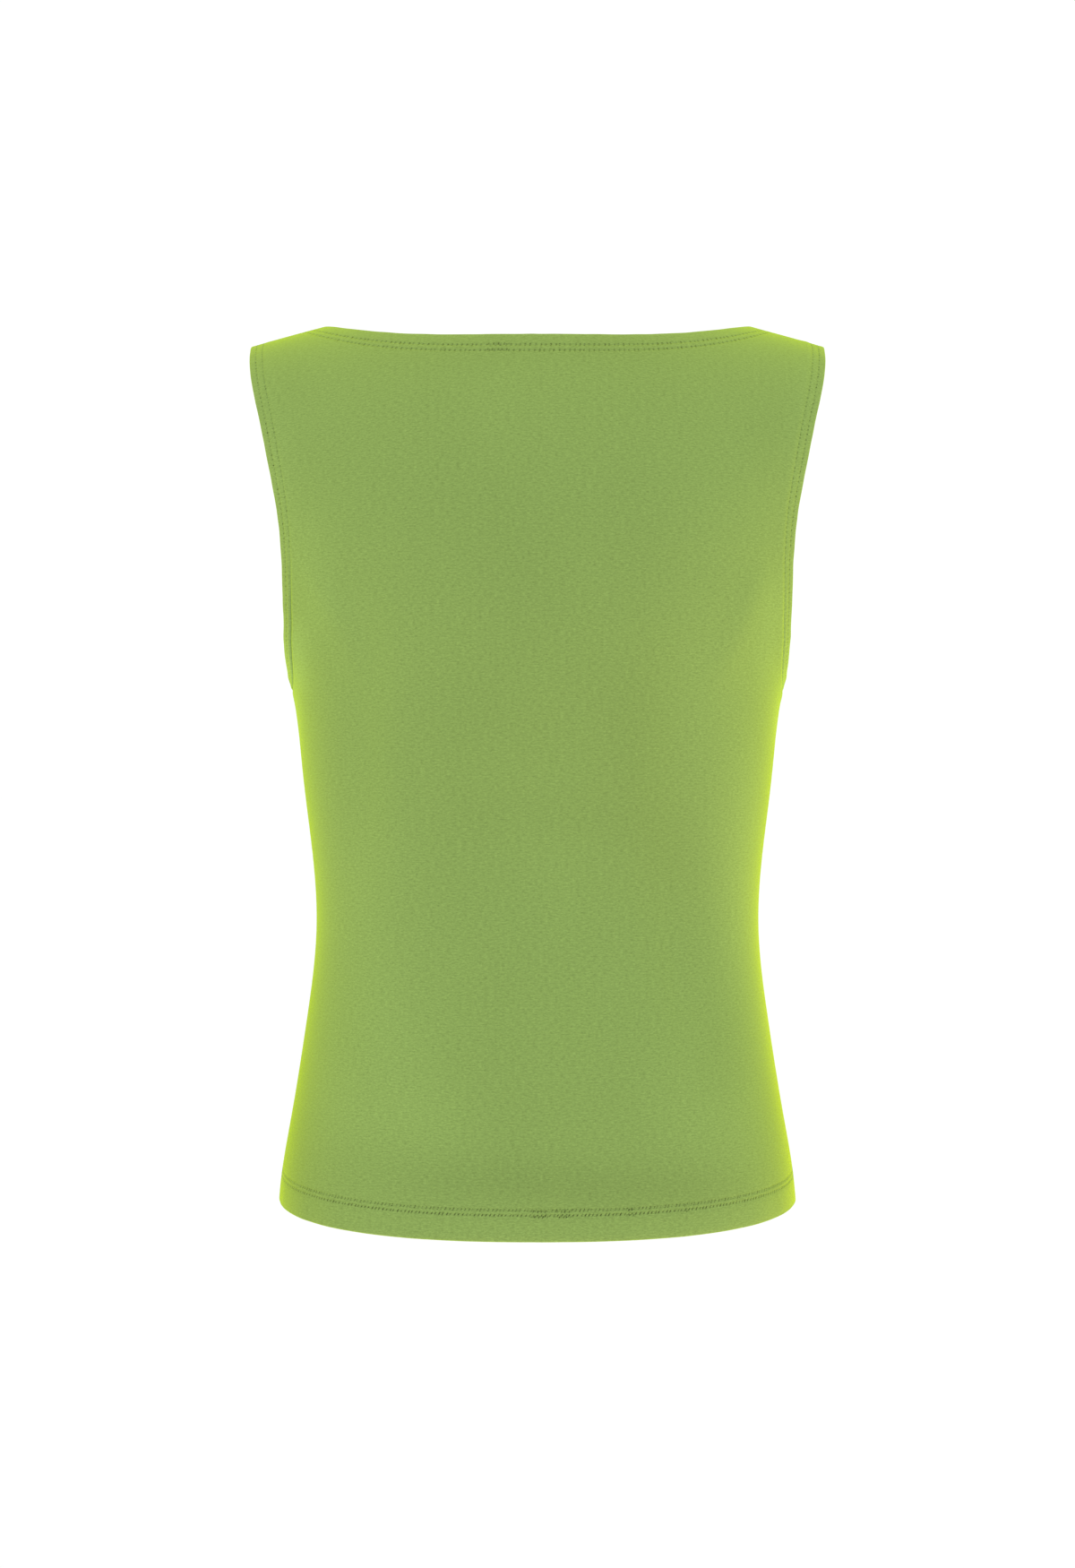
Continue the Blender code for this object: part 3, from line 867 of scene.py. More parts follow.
def stitch_place(near, sign):
    """Each point's distances from the two rows of its nearest edge, and how many stitches along it lies."""
    names = [edge.name for edge in EDGES]
    distances = np.stack([near[name][0] for name in names])
    best = distances.argmin(0)
    made = np.zeros((len(best), 3))
    for number, edge in enumerate(EDGES):
        pick = best == number
        distance, along = near[edge.name][0][pick], near[edge.name][1][pick]
        count = (sign * along + edge.lean * distance) / edge.pitch
        first, second = ((distance - row) * edge.faint for row in edge.rows)
        made[pick] = np.stack((first, second, count), axis=-1)
    return made


def build_panel(panel, thickness, fold_radius):
    """The whole panel as one sheet: its points, faces, flat places, stitch places, and its painted light and
    shade.
    """
    cloth = Cloth(panel)
    half = HalfPanel(cloth, thickness, fold_radius)
    half.sheet()
    for edge in EDGES:
        half.turn_in(edge)
    angle, level, depth, out, place, faces = half.arrays()
    near = cloth.edge_places(angle, level)
    count = len(angle)
    centre = angle <= 0.0
    on_seam = (angle >= np.pi / 2) | (level >= 0.0)
    sides, painted_lights_and_shades, passes, stitches = [], [], [], []
    for sign in (1.0, -1.0):
        turned = angle if sign > 0 else np.where(centre, 0.0, -angle)
        points, _ = cloth.surface(turned, level, depth, near)
        points = points + out * (sign, 1, 1)
        points[on_seam, 1] = panel.side * SEAM_GAP / 2
        points[centre, 0] = 0.0
        sides.append(points)
        painted_lights_and_shades.append(cloth.tone(turned, level, near))
        passes.append(cloth.second_pass(turned, near))
        stitches.append(stitch_place(near, sign))
    mirror = np.where(centre, np.arange(count), count + np.cumsum(~centre) - 1)

    def both(right, left):
        return np.concatenate((right, left[~centre]))

    painted_shading = {"tone": both(*painted_lights_and_shades), "second_pass": both(*passes)}
    faces = faces + [tuple(int(mirror[k]) for k in reversed(face)) for face in faces]
    if panel.side > 0:
        faces = [tuple(reversed(face)) for face in faces]
    return both(*sides), faces, both(place, place * (-1, 1)), both(*stitches), painted_shading


def mesh_object(name, points, faces, materials):
    mesh = bpy.data.meshes.new(name)
    mesh.from_pydata([tuple(point) for point in points], [], faces)
    mesh.update()
    mesh.shade_smooth()
    for material in materials:
        mesh.materials.append(material)
    item = bpy.data.objects.new(name, mesh)
    bpy.context.scene.collection.objects.link(item)
    return item


def give_wall(item, thickness, back_slot=0):
    """Gives the cloth its thickness, half to each side, and keeps the result as its mesh."""
    wall = item.modifiers.new("Wall", "SOLIDIFY")
    wall.thickness = thickness
    wall.offset = 0.0
    wall.material_offset = back_slot
    as_plain_mesh(item)


def lay_flat(item, flat, stitches):
    """Gives the mesh its flat places and its stitch places, for the materials."""
    mesh = item.data
    corners = np.empty(len(mesh.loops), dtype=np.int32)
    mesh.loops.foreach_get("vertex_index", corners)
    mesh.uv_layers.new(name="UVMap").data.foreach_set("uv", flat[corners].ravel())
    mesh.attributes.new("stitch_place", "FLOAT_VECTOR", "POINT").data.foreach_set("vector", stitches.ravel())


def as_plain_mesh(item):
    """The object with its modifiers' result as its own mesh."""
    bpy.context.view_layer.update()
    made = bpy.data.meshes.new_from_object(item.evaluated_get(bpy.context.evaluated_depsgraph_get()))
    item.modifiers.clear()
    item.data = made
    made.name = item.name
    return item


# Node trees


class Nodes:
    """Short names for adding nodes to a material, a shader group or a Geometry Nodes tree."""

    def __init__(self, tree):
        self.tree = tree
        self.link = tree.links.new

    def feed(self, socket, value):
        if isinstance(value, bpy.types.NodeSocket):
            self.link(value, socket)
        elif value is not None:
            socket.default_value = value

    def node(self, kind, given=None, **settings):
        """A new node, with its inputs fed by their names or numbers."""
        made = self.tree.nodes.new(kind)
        for name, value in settings.items():
            setattr(made, name, value)
        for socket, value in (given or {}).items():
            self.feed(made.inputs[socket], value)
        return made

    def math(self, operation, *values):
        return self.node("ShaderNodeMath", dict(enumerate(values)), operation=operation).outputs[0]

    def vector(self, operation, *values):
        return self.node("ShaderNodeVectorMath", dict(enumerate(values)), operation=operation).outputs[0]

    def joined(self, x, y, z=0.0):
        return self.node("ShaderNodeCombineXYZ", {0: x, 1: y, 2: z}).outputs[0]

    def split(self, vector):
        return self.node("ShaderNodeSeparateXYZ", {0: vector}).outputs

    def scaled(self, colour, factor):
        given = {0: colour, "Scale": factor}
        return self.node("ShaderNodeVectorMath", given, operation="SCALE").outputs[0]

    def noise(self, vector, scale, detail=2.0, roughness=0.5):
        given = {"Vector": vector, "Scale": scale, "Detail": detail, "Roughness": roughness}
        return self.node("ShaderNodeTexNoise", given).outputs["Fac"]

    def noise_on(self, place, scales, detail=2.0, roughness=0.5):
        """Noise with its own scale along each axis."""
        return self.noise(self.vector("MULTIPLY", place, scales), 1.0, detail, roughness)

    def ramp(self, value, low, high, start=0.0, end=1.0, smooth=False):
        shape = "SMOOTHSTEP" if smooth else "LINEAR"
        given = dict(enumerate((value, low, high, start, end)))
        return self.node("ShaderNodeMapRange", given, interpolation_type=shape).outputs[0]

    def product(self, first, *others):
        for other in others:
            first = self.math("MULTIPLY", first, other)
        return first

    def attribute(self, name, output="Fac"):
        return self.node("ShaderNodeAttribute", attribute_name=name).outputs[output]

    def bump(self, height, strength, distance):
        given = {"Height": height, "Strength": strength, "Distance": distance}
        return self.node("ShaderNodeBump", given).outputs["Normal"]


def new_tree(name, kind, inputs, outputs):
    """A node group with these sockets, its short names, its given values and its results."""
    tree = bpy.data.node_groups.new(name, kind)
    for label, socket_kind, value in inputs:
        socket = tree.interface.new_socket(label, in_out="INPUT", socket_type=socket_kind)
        if value is not None:
            socket.default_value = value
    for label, socket_kind in outputs:
        tree.interface.new_socket(label, in_out="OUTPUT", socket_type=socket_kind)
    s = Nodes(tree)
    return tree, s, s.node("NodeGroupInput").outputs, s.node("NodeGroupOutput").inputs


# Threads


def stitch_guides(cloth):
    """Where the two needle threads' stitches lie on the outside: middles, normals, ways and lengths."""
    guides = []
    for edge in EDGES:
        line = cloth.lines[edge.name]
        for row in edge.rows:
            along = (np.arange(int(line.total / edge.pitch)) + 0.5) * edge.pitch
            for sign in (1, -1):
                guides.append(guide_rows(cloth, line, along, row, sign, 0.0))
        for overlap in OVERLAPS:
            if (overlap.edge, overlap.panel) == (edge.name, cloth.panel.name):
                guides += second_pass_guides(cloth, line, overlap)
    return [np.concatenate(columns) for columns in zip(*guides)]


def second_pass_guides(cloth, line, overlap):
    pitch = line.edge.pitch
    first = math.ceil(overlap.start / pitch)
    last = math.floor(overlap.end / pitch)
    along = (np.arange(first, last + 1) + overlap.ahead) * pitch
    guides = []
    for row in line.edge.rows:
        for sign in (1, -1):
            part = along[along * sign > 0] * sign
            if len(part):
                guides.append(guide_rows(cloth, line, part, row + overlap.aside, sign, SECOND_PASS_DEPTH))
    return guides


def guide_rows(cloth, line, along, distance, sign, depth):
    """Stitches along a line beside an edge."""
    ahead = np.minimum(along + STITCH_PROBE, line.total)
    points, normal = cloth.surface(*signed(line.beside(along, distance), sign), depth)
    further, _ = cloth.surface(*signed(line.beside(ahead, distance), sign), depth)
    way = further - points
    way[length_of(way)[:, 0] < SHORTEST_WAY] = 1, 0, 0
    return points, normal, way / length_of(way), np.full(len(points), line.edge.pitch)


def looper_guides(cloth, settings):
    """The looper thread inside: it crosses behind the turning from row to row, and back, at each stitch."""
    guides = []
    depth = settings.cloth_thickness + 2 * settings.fold_radius
    for edge in EDGES:
        line = cloth.lines[edge.name]
        count = int(line.total / edge.pitch)
        for sign in (1, -1):
            for shift in (0.0, 0.5):
                start = (np.arange(count) + THREAD_START + shift) * edge.pitch
                end = np.minimum(start + LOOPER_RUN * edge.pitch, line.total)
                rows = edge.rows if shift == 0.0 else edge.rows[::-1]
                first, normal = cloth.surface(*signed(line.beside(start, rows[0]), sign), depth)
                second, _ = cloth.surface(*signed(line.beside(end, rows[1]), sign), depth)
                guides.append(spanning(first, second, -normal))
    return [np.concatenate(columns) for columns in zip(*guides)]


def signed(place, sign):
    return place[0] * sign, place[1]


def spanning(first, second, normal):
    """Stitches from the first points to the second: middles, normals, ways and lengths."""
    way = second - first
    length = length_of(way)
    return (first + second) / 2, normal, way / length, length[:, 0]


def overlock_guides(cloth, along_seam, depth):
    """The overlock thread round the raw edge of two allowances: slanting there and back at each stitch."""
    guides = []
    total, place_at = along_seam
    start = (np.arange(int(total / OVERLOCK_PITCH)) + THREAD_START) * OVERLOCK_PITCH
    for shift, ends in ((0.0, OVERLOCK_WIDTHS), (0.5, OVERLOCK_WIDTHS[::-1])):
        begun = start + shift * OVERLOCK_PITCH
        ended = np.minimum(begun + OVERLOCK_RUN * OVERLOCK_PITCH, total)
        first, normal = cloth.surface(*place_at(begun, ends[0]), depth)
        second, _ = cloth.surface(*place_at(ended, ends[1]), depth)
        guides.append(spanning(first, second, -normal))
    return [np.concatenate(columns) for columns in zip(*guides)]


def seam_run(cloth, seam, sign):
    """Length of an allowance's seam between the turnings, and places by distance along it and from it."""
    panel = cloth.panel

    def past_turning(edge, end):
        line = cloth.lines[edge.name]
        angle, level = line.beside([end * line.total], edge.turning + TURNING_GAP)
        return angle[0], level[0]

    if seam == "side":
        level = np.linspace(past_turning(HEM, 1)[1], past_turning(ARMHOLE, 0)[1], SEAM_POINTS[seam])
        angle = np.full(level.shape, np.pi / 2)
    else:
        angle = np.linspace(past_turning(NECK, 1)[0], past_turning(ARMHOLE, 1)[0], SEAM_POINTS[seam])
        level = np.zeros(angle.shape)
    steps = length_of(np.diff(form_point(panel, angle, level), axis=0))[:, 0]
    lengths = np.concatenate(([0.0], np.cumsum(steps)))

    def place_at(along, width):
        start = np.interp(along, lengths, angle), np.interp(along, lengths, level)
        across, upward = form_slopes(panel, *start)
        way = -across if seam == "side" else -upward
        return signed(travel(panel, *start, way / length_of(way) * np.reshape(width, (-1, 1))), sign)

    return lengths[-1], place_at


def allowance_mesh(cloth, along_seam, depths, width, flip):
    """Two strips of cloth, one on the other, beside a seam: points, faces and flat places."""
    total, place_at = along_seam
    along = np.linspace(0.0, total, round(total / ROW_STEP) + 1)
    widths = np.linspace(ALLOWANCE_START, width, ALLOWANCE_COLUMNS)
    points, flat, faces = [], [], []
    for depth in depths:
        first = len(points) * len(along)
        for across in widths:
            points.append(cloth.surface(*place_at(along, across), depth)[0])
            flat.append(np.stack((np.full(along.shape, across), along), axis=-1))
        for column in range(len(widths) - 1):
            for k in range(len(along) - 1):
                a = first + column * len(along) + k
                face = (a, a + 1, a + 1 + len(along), a + len(along))
                faces.append(face[::-1] if flip else face)
    return np.concatenate(points), faces, np.concatenate(flat)


def guide_object(name, guides):
    """Points that carry the way each stitch lies."""
    points, normal, way, length = guides
    mesh = bpy.data.meshes.new(name)
    mesh.from_pydata([tuple(point) for point in points], [], [])
    for label, values in (("lie_normal", normal), ("lie_way", way)):
        mesh.attributes.new(label, "FLOAT_VECTOR", "POINT").data.foreach_set("vector", values.ravel())
    mesh.attributes.new("lie_length", "FLOAT", "POINT").data.foreach_set("value", length)
    item = bpy.data.objects.new(name, mesh)
    bpy.context.scene.collection.objects.link(item)
    return item


def stitch_tree():
    """Lays a short length of thread on each point, diving into the cloth at both ends."""
    name = "Thread on points"
    if name in bpy.data.node_groups:
        return bpy.data.node_groups[name]
    inputs = (
        ("Geometry", "NodeSocketGeometry", None),
        ("Thread Radius", "NodeSocketFloat", 0.00017),
        ("Rise", "NodeSocketFloat", 0.00012),
        ("Sink", "NodeSocketFloat", 0.0003),
        ("Reach", "NodeSocketFloat", 0.64),
        ("Unevenness", "NodeSocketFloat", 0.06),
        ("Turn", "NodeSocketFloat", 0.07),
        ("Sides", "NodeSocketInt", 5),
        ("Steps", "NodeSocketInt", 5),
        ("Seed", "NodeSocketInt", 3),
        ("Thread", "NodeSocketMaterial", None),
    )
    outputs = (("Geometry", "NodeSocketGeometry"),)
    tree, s, given, result = new_tree(name, "GeometryNodeTree", inputs, outputs)

    def chance(low, high, seed_shift):
        seed = s.math("ADD", given["Seed"], seed_shift)
        node = s.node("FunctionNodeRandomValue", {2: low, 3: high, "Seed": seed}, data_type="FLOAT")
        return node.outputs[1]

    def carried(label, kind):
        node = s.node("GeometryNodeInputNamedAttribute", {"Name": label}, data_type=kind)
        return node.outputs["Attribute"]

    low = s.math("MULTIPLY", given["Sink"], -1.0)
    high = s.math("MULTIPLY", given["Rise"], 1.5)
    ends = {"Start": s.joined(-0.5, 0.0, low), "End": s.joined(0.5, 0.0, low)}
    handles = {"Start Handle": s.joined(-0.4, 0.0, high), "End Handle": s.joined(0.4, 0.0, high)}
    arch_kind = "GeometryNodeCurvePrimitiveBezierSegment"
    arch = s.node(arch_kind, {"Resolution": given["Steps"], **ends, **handles}, mode="POSITION")
    round_values = {"Resolution": given["Sides"], "Radius": given["Thread Radius"]}
    ring = s.node("GeometryNodeCurvePrimitiveCircle", round_values, mode="RADIUS")
    curves = {"Curve": arch.outputs["Curve"], "Profile Curve": ring.outputs["Curve"], "Fill Caps": True}
    tube = s.node("GeometryNodeCurveToMesh", curves)

    axes = {
        "Primary Axis": carried("lie_normal", "FLOAT_VECTOR"),
        "Secondary Axis": carried("lie_way", "FLOAT_VECTOR"),
    }
    lie = s.node("FunctionNodeAxesToRotation", axes, primary_axis="Z", secondary_axis="X")
    turn = chance(s.math("MULTIPLY", given["Turn"], -1.0), given["Turn"], 11)
    swing = s.node("FunctionNodeAxisAngleToRotation", {"Axis": (0.0, 0.0, 1.0), "Angle": turn})
    rotations = {"Rotation": lie.outputs["Rotation"], "Rotate By": swing.outputs["Rotation"]}
    turned = s.node("FunctionNodeRotateRotation", rotations, rotation_space="LOCAL")
    shortest = s.math("SUBTRACT", 1.0, given["Unevenness"])
    longest = s.math("ADD", 1.0, given["Unevenness"])
    reach = s.math("MULTIPLY", carried("lie_length", "FLOAT"), given["Reach"])
    placing = {
        "Points": given["Geometry"],
        "Instance": tube.outputs["Mesh"],
        "Rotation": turned.outputs["Rotation"],
        "Scale": s.joined(s.math("MULTIPLY", reach, chance(shortest, longest, 5)), 1.0, 1.0),
    }
    place = s.node("GeometryNodeInstanceOnPoints", placing)
    tint = s.node("GeometryNodeStoreNamedAttribute", data_type="FLOAT", domain="INSTANCE")
    s.feed(tint.inputs["Name"], "thread_tint")
    s.feed(tint.inputs["Geometry"], place.outputs["Instances"])
    s.feed(tint.inputs["Value"], chance(0.0, 1.0, 23))
    real = s.node("GeometryNodeRealizeInstances", {"Geometry": tint.outputs["Geometry"]})
    painting = {"Geometry": real.outputs["Geometry"], "Material": given["Thread"]}
    painted = s.node("GeometryNodeSetMaterial", painting)
    s.link(painted.outputs["Geometry"], result["Geometry"])
    return tree


def lay_threads(item, values):
    """Runs the stitch tree on the guide points, with these values, and keeps its mesh."""
    tree = stitch_tree()
    modifier = item.modifiers.new("Threads", "NODES")
    modifier.node_group = tree
    for socket in tree.interface.items_tree:
        if socket.in_out == "INPUT" and socket.name in values:
            modifier[socket.identifier] = values[socket.name]
    as_plain_mesh(item)
    item.data.shade_smooth()
    return item


# Materials


def knit_group():
    """Single jersey: columns of loops, seen from the face or the back, with short flecks across them."""
    name = "Jersey knit"
    if name in bpy.data.node_groups:
        return bpy.data.node_groups[name]
    inputs = (
        ("Place", "NodeSocketVector", None),
        ("Wale", "NodeSocketFloat", 0.00072),
        ("Course", "NodeSocketFloat", 0.00056),
        ("Reverse", "NodeSocketFloat", 0.0),
    )
    outputs = (("Loops", "NodeSocketFloat"), ("Flecks", "NodeSocketFloat"), ("Zones", "NodeSocketFloat"))
    tree, s, given, result = new_tree(name, "ShaderNodeTree", inputs, outputs)
    x, y, _ = s.split(given["Place"])
    whole_turn = 2 * math.pi
    drift = s.noise(given["Place"], DRIFT_SCALE, 1.0)
    wale = s.math("ADD", s.math("DIVIDE", x, given["Wale"]), s.math("MULTIPLY", drift, WALE_DRIFT))
    across = s.math("ABSOLUTE", s.math("SUBTRACT", s.math("FRACT", wale), 0.5))
    course = s.math("ADD", s.math("DIVIDE", y, given["Course"]), s.math("MULTIPLY", drift, COURSE_DRIFT))
    slanted = s.math("ADD", course, s.math("MULTIPLY", across, LOOP_SLANT))
    leg = s.math("SINE", s.math("MULTIPLY", across, whole_turn))
    link_wave = s.math("SINE", s.math("MULTIPLY", slanted, whole_turn))
    face = s.math("MULTIPLY", leg, s.math("MULTIPLY_ADD", link_wave, LOOP_DEPTH, 1 - LOOP_DEPTH))
    bow = s.math("MULTIPLY", s.math("SINE", s.math("MULTIPLY", wale, whole_turn)), BACK_BOW)
    bowed = s.math("MULTIPLY", s.math("ADD", course, bow), whole_turn)
    back = s.math("MULTIPLY_ADD", s.math("SINE", bowed), BACK_DEPTH, 0.5)
    loops = s.node("ShaderNodeMix", {0: given["Reverse"], 2: face, 3: back}, data_type="FLOAT")
    s.link(loops.outputs[0], result["Loops"])
    fine = s.noise_on(given["Place"], FINE_FLECKS, 3.0, 0.65)
    short = s.noise_on(given["Place"], SHORT_FLECKS)
    flecks = s.math("MULTIPLY_ADD", short, SHORT_SHARE, s.math("MULTIPLY", fine, 1 - SHORT_SHARE))
    s.link(flecks, result["Flecks"])
    s.link(s.noise_on(given["Place"], ZONES), result["Zones"])
    return tree


def needle_group():
    """Painted shade: marks where the needles pull the cloth in, uneven from stitch to stitch, and painted
    shade along a row.
    """
    name = "Needle marks"
    if name in bpy.data.node_groups:
        return bpy.data.node_groups[name]
    inputs = (
        ("Place", "NodeSocketVector", None),
        ("Mark Reach", "NodeSocketFloat", 0.00110),
        ("Mark Share", "NodeSocketFloat", 0.30),
        ("Row Width", "NodeSocketFloat", 0.0009),
    )
    outputs = (("Marks", "NodeSocketFloat"), ("Row", "NodeSocketFloat"))
    tree, s, given, result = new_tree(name, "ShaderNodeTree", inputs, outputs)
    first, second, count = s.split(given["Place"])
    near_first = s.math("LESS_THAN", s.math("ABSOLUTE", first), s.math("ABSOLUTE", second))
    nearest = s.math("MULTIPLY_ADD", near_first, s.math("SUBTRACT", first, second), second)
    stitch = s.math("ROUND", count)
    draw = s.joined(stitch, s.math("MULTIPLY", near_first, 7.0))
    chance = s.node("ShaderNodeTexWhiteNoise", {"Vector": draw}, noise_dimensions="3D")
    shift, size, strength = s.split(chance.outputs["Color"])
    along = s.math("SUBTRACT", s.math("SUBTRACT", count, stitch), s.ramp(shift, 0.0, 1.0, -0.16, 0.16))
    mark_reach = s.math("MULTIPLY", given["Mark Reach"], s.ramp(size, 0.0, 1.0, 0.8, 1.25))
    a = s.math("DIVIDE", nearest, mark_reach)
    b = s.math("DIVIDE", along, given["Mark Share"])
    reach = s.math("SQRT", s.math("ADD", s.math("MULTIPLY", a, a), s.math("MULTIPLY", b, b)))
    marks = s.math("MULTIPLY", s.ramp(reach, 1.0, 0.2, smooth=True), s.ramp(strength, 0.0, 1.0, 0.6, 1.0))
    s.link(marks, result["Marks"])
    s.link(s.ramp(s.math("ABSOLUTE", nearest), given["Row Width"], 0.0, smooth=True), result["Row"])
    return tree


def new_material(name):
    material = bpy.data.materials.new(name)
    material.use_nodes = True
    return material, Nodes(material.node_tree), material.node_tree.nodes["Principled BSDF"].inputs


def placed_group(s, tree, **values):
    given = {label.replace("_", " "): value for label, value in values.items()}
    return s.node("ShaderNodeGroup", node_tree=tree, given=given).outputs


def fibre_finish(inputs, settings, roughness, specular, sheen):
    inputs["Roughness"].default_value = roughness
    inputs["Specular IOR Level"].default_value = specular
    inputs["Sheen Weight"].default_value = sheen
    inputs["Sheen Roughness"].default_value = settings.sheen_roughness
    inputs["Sheen Tint"].default_value = (*settings.sheen_colour, 1.0)


def jersey_material(name, settings, colour, reverse):
    if name in bpy.data.materials:
        return bpy.data.materials[name]
    material, s, inputs = new_material(name)
    place = s.node("ShaderNodeUVMap", uv_map="UVMap").outputs[0]
    sizes = {"Wale": settings.wale, "Course": settings.course, "Reverse": float(reverse)}
    knit = placed_group(s, knit_group(), Place=place, **sizes)
    stitches = s.attribute("stitch_place", "Vector")
    needles = placed_group(s, needle_group(), Place=stitches)
    # the second pass's needle marks, painted shade in its dents, beside the first pass's
    beside = s.vector("ADD", stitches, SECOND_PASS_MARKS)
    again = placed_group(s, needle_group(), Place=beside)["Marks"]
    marks = s.math("MAXIMUM", needles["Marks"], s.math("MULTIPLY", s.attribute("second_pass"), again))
    shade = s.product(
        s.ramp(knit["Flecks"], 0.32, 0.68, 1 - settings.fleck, 1 + settings.fleck),
        s.ramp(knit["Zones"], 0.3, 0.7, *ZONE_SHADES),
        # painted light and shade on the knit's loops
        s.ramp(knit["Loops"], 0.0, 1.0, *LOOP_PAINTED_SHADES),
        # painted light and shade from the soft patches and the underarm groove
        s.math("ADD", s.attribute("tone"), 1.0),
        # painted shade at the needle marks and along the rows of stitches
        s.math("MULTIPLY_ADD", marks, MARK_PAINTED_SHADE, 1.0),
        s.math("MULTIPLY_ADD", needles["Row"], ROW_PAINTED_SHADE, 1.0),
    )
    s.link(s.scaled((*colour,), shade), inputs["Base Color"])
    height = s.math("ADD", knit["Loops"], s.math("MULTIPLY", knit["Flecks"], FLECK_HEIGHT))
    height = s.math("SUBTRACT", height, s.math("MULTIPLY", marks, MARK_DEPTH))
    s.link(s.bump(height, 0.35, 0.00012), inputs["Normal"])
    fibre_finish(inputs, settings, 0.85, 0.25, settings.sheen)
    return material


def thread_material(settings):
    name = "matching_thread"
    if name in bpy.data.materials:
        return bpy.data.materials[name]
    material, s, inputs = new_material(name)
    place = s.node("ShaderNodeTexCoord").outputs["Object"]
    twist = s.noise_on(place, THREAD_TWIST, 2.0, 0.6)
    tint = s.ramp(s.attribute("thread_tint"), 0.0, 1.0, 0.90, 1.08)
    shade = s.math("MULTIPLY", tint, s.ramp(twist, 0.3, 0.7, 0.86, 1.10))
    s.link(s.scaled((*settings.thread_colour,), shade), inputs["Base Color"])
    s.link(s.bump(twist, 0.4, 0.00006), inputs["Normal"])
    fibre_finish(inputs, settings, 0.55, 0.4, settings.sheen * 0.5)
    return material


# Settings


class TankTopCloth(bpy.types.PropertyGroup):
    """The cloth and its thread."""

    cloth_thickness: FloatProperty(
        name="Cloth thickness",
        description="One layer of jersey",
        default=0.0008,
        subtype="DISTANCE",
        unit="LENGTH",
    )
    fold_radius: FloatProperty(
        name="Fold radius",
        description="Of the middle of the cloth, where an edge is folded in",
        default=0.000475,
        subtype="DISTANCE",
        unit="LENGTH",
    )
    thread_radius: FloatProperty(
        name="Thread radius",
        description="Of the sewing thread",
        default=0.00017,
        subtype="DISTANCE",
        unit="LENGTH",
    )
    allowance: FloatProperty(
        name="Seam allowance",
        description="Width of the cloth beyond the side and shoulder seams",
        default=0.006,
        subtype="DISTANCE",
        unit="LENGTH",
    )
    seed: IntProperty(name="Seed", description="Of the stitches' unevenness", default=3)


class TankTopFinish(bpy.types.PropertyGroup):
    """Colours, lustre and knit."""

    colour: FloatVectorProperty(
        name="Jersey",
        description="Face of the cloth",
        default=(0.240, 0.362, 0.094),
        subtype="COLOR",
        size=3,
    )
    reverse_colour: FloatVectorProperty(
        name="Reverse",
        description="Back of the cloth",
        default=(0.228, 0.345, 0.090),
        subtype="COLOR",
        size=3,
    )
    thread_colour: FloatVectorProperty(
        name="Thread",
        description="Sewing thread",
        default=(0.265, 0.395, 0.108),
        subtype="COLOR",
        size=3,
    )
    sheen_colour: FloatVectorProperty(
        name="Sheen",
        description="Light caught by the fibres",
        default=(0.72, 1.0, 0.0),
        subtype="COLOR",
        size=3,
    )
    sheen: FloatProperty(name="Sheen weight", description="Strength of the sheen", default=1.0)
    sheen_roughness: FloatProperty(name="Sheen spread", description="Width of the sheen", default=0.5)
    fleck: FloatProperty(name="Flecks", description="Strength of the short flecks", default=0.28)
    wale: FloatProperty(name="Wale", description="Width of a column of loops", default=0.00072, unit="LENGTH")
    course: FloatProperty(name="Course", description="Height of a row", default=0.00056, unit="LENGTH")


class TankTopStudio(bpy.types.PropertyGroup):
    """Light, floor and camera."""

    surround: FloatProperty(name="Surround", description="Strength of the white surround", default=1.04)
    left_light: FloatProperty(name="Left light", description="Of that softbox", default=5.0, unit="POWER")
    right_light: FloatProperty(name="Right light", description="Of that softbox", default=20.0, unit="POWER")
    light_level: FloatProperty(name="Light level", description="Of both lights", default=-2.35, unit="LENGTH")
    floor_level: FloatProperty(name="Floor", description="Height of the floor", default=-2.6, unit="LENGTH")
    distance: FloatProperty(name="Distance", description="Camera to side seams", default=2.0, unit="LENGTH")
    height: FloatProperty(name="Height", description="Of the camera", default=-0.2645, unit="LENGTH")
    lens: FloatProperty(name="Lens", description="Focal length in millimetres", default=79.24)


def material_set():
    scene = bpy.context.scene
    finish = scene.tank_top_finish
    face = jersey_material("green_jersey", finish, finish.colour, False)
    reverse = jersey_material("green_jersey_reverse", finish, finish.reverse_colour, True)
    return face, reverse, thread_material(finish)


def thread_values(settings):
    return {"Thread Radius": settings.thread_radius, "Seed": settings.seed, "Thread": material_set()[2]}


# Pieces


class TANKTOP_OT_panels(bpy.types.Operator):
    """Cut the back and front panels and fold their neck, armhole and hem edges to the inside"""

    bl_idname = "tank_top.panels"
    bl_label = "Panels"

    def execute(self, context):
        settings = context.scene.tank_top_cloth
        face, reverse, _ = material_set()
        for panel in PANELS:
            made = build_panel(panel, settings.cloth_thickness, settings.fold_radius)
            points, faces, flat, stitches, painted_shading = made
            item = mesh_object(panel.name + "_cloth", points, faces, (face, reverse))
            lay_flat(item, flat, stitches)
            for label, values in painted_shading.items():
                item.data.attributes.new(label, "FLOAT", "POINT").data.foreach_set("value", values)
            give_wall(item, settings.cloth_thickness, back_slot=1)
            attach(item, "root")
            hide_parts(*[node for node in sorted(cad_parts) if node.startswith(panel.name + "_")])
        return {"FINISHED"}


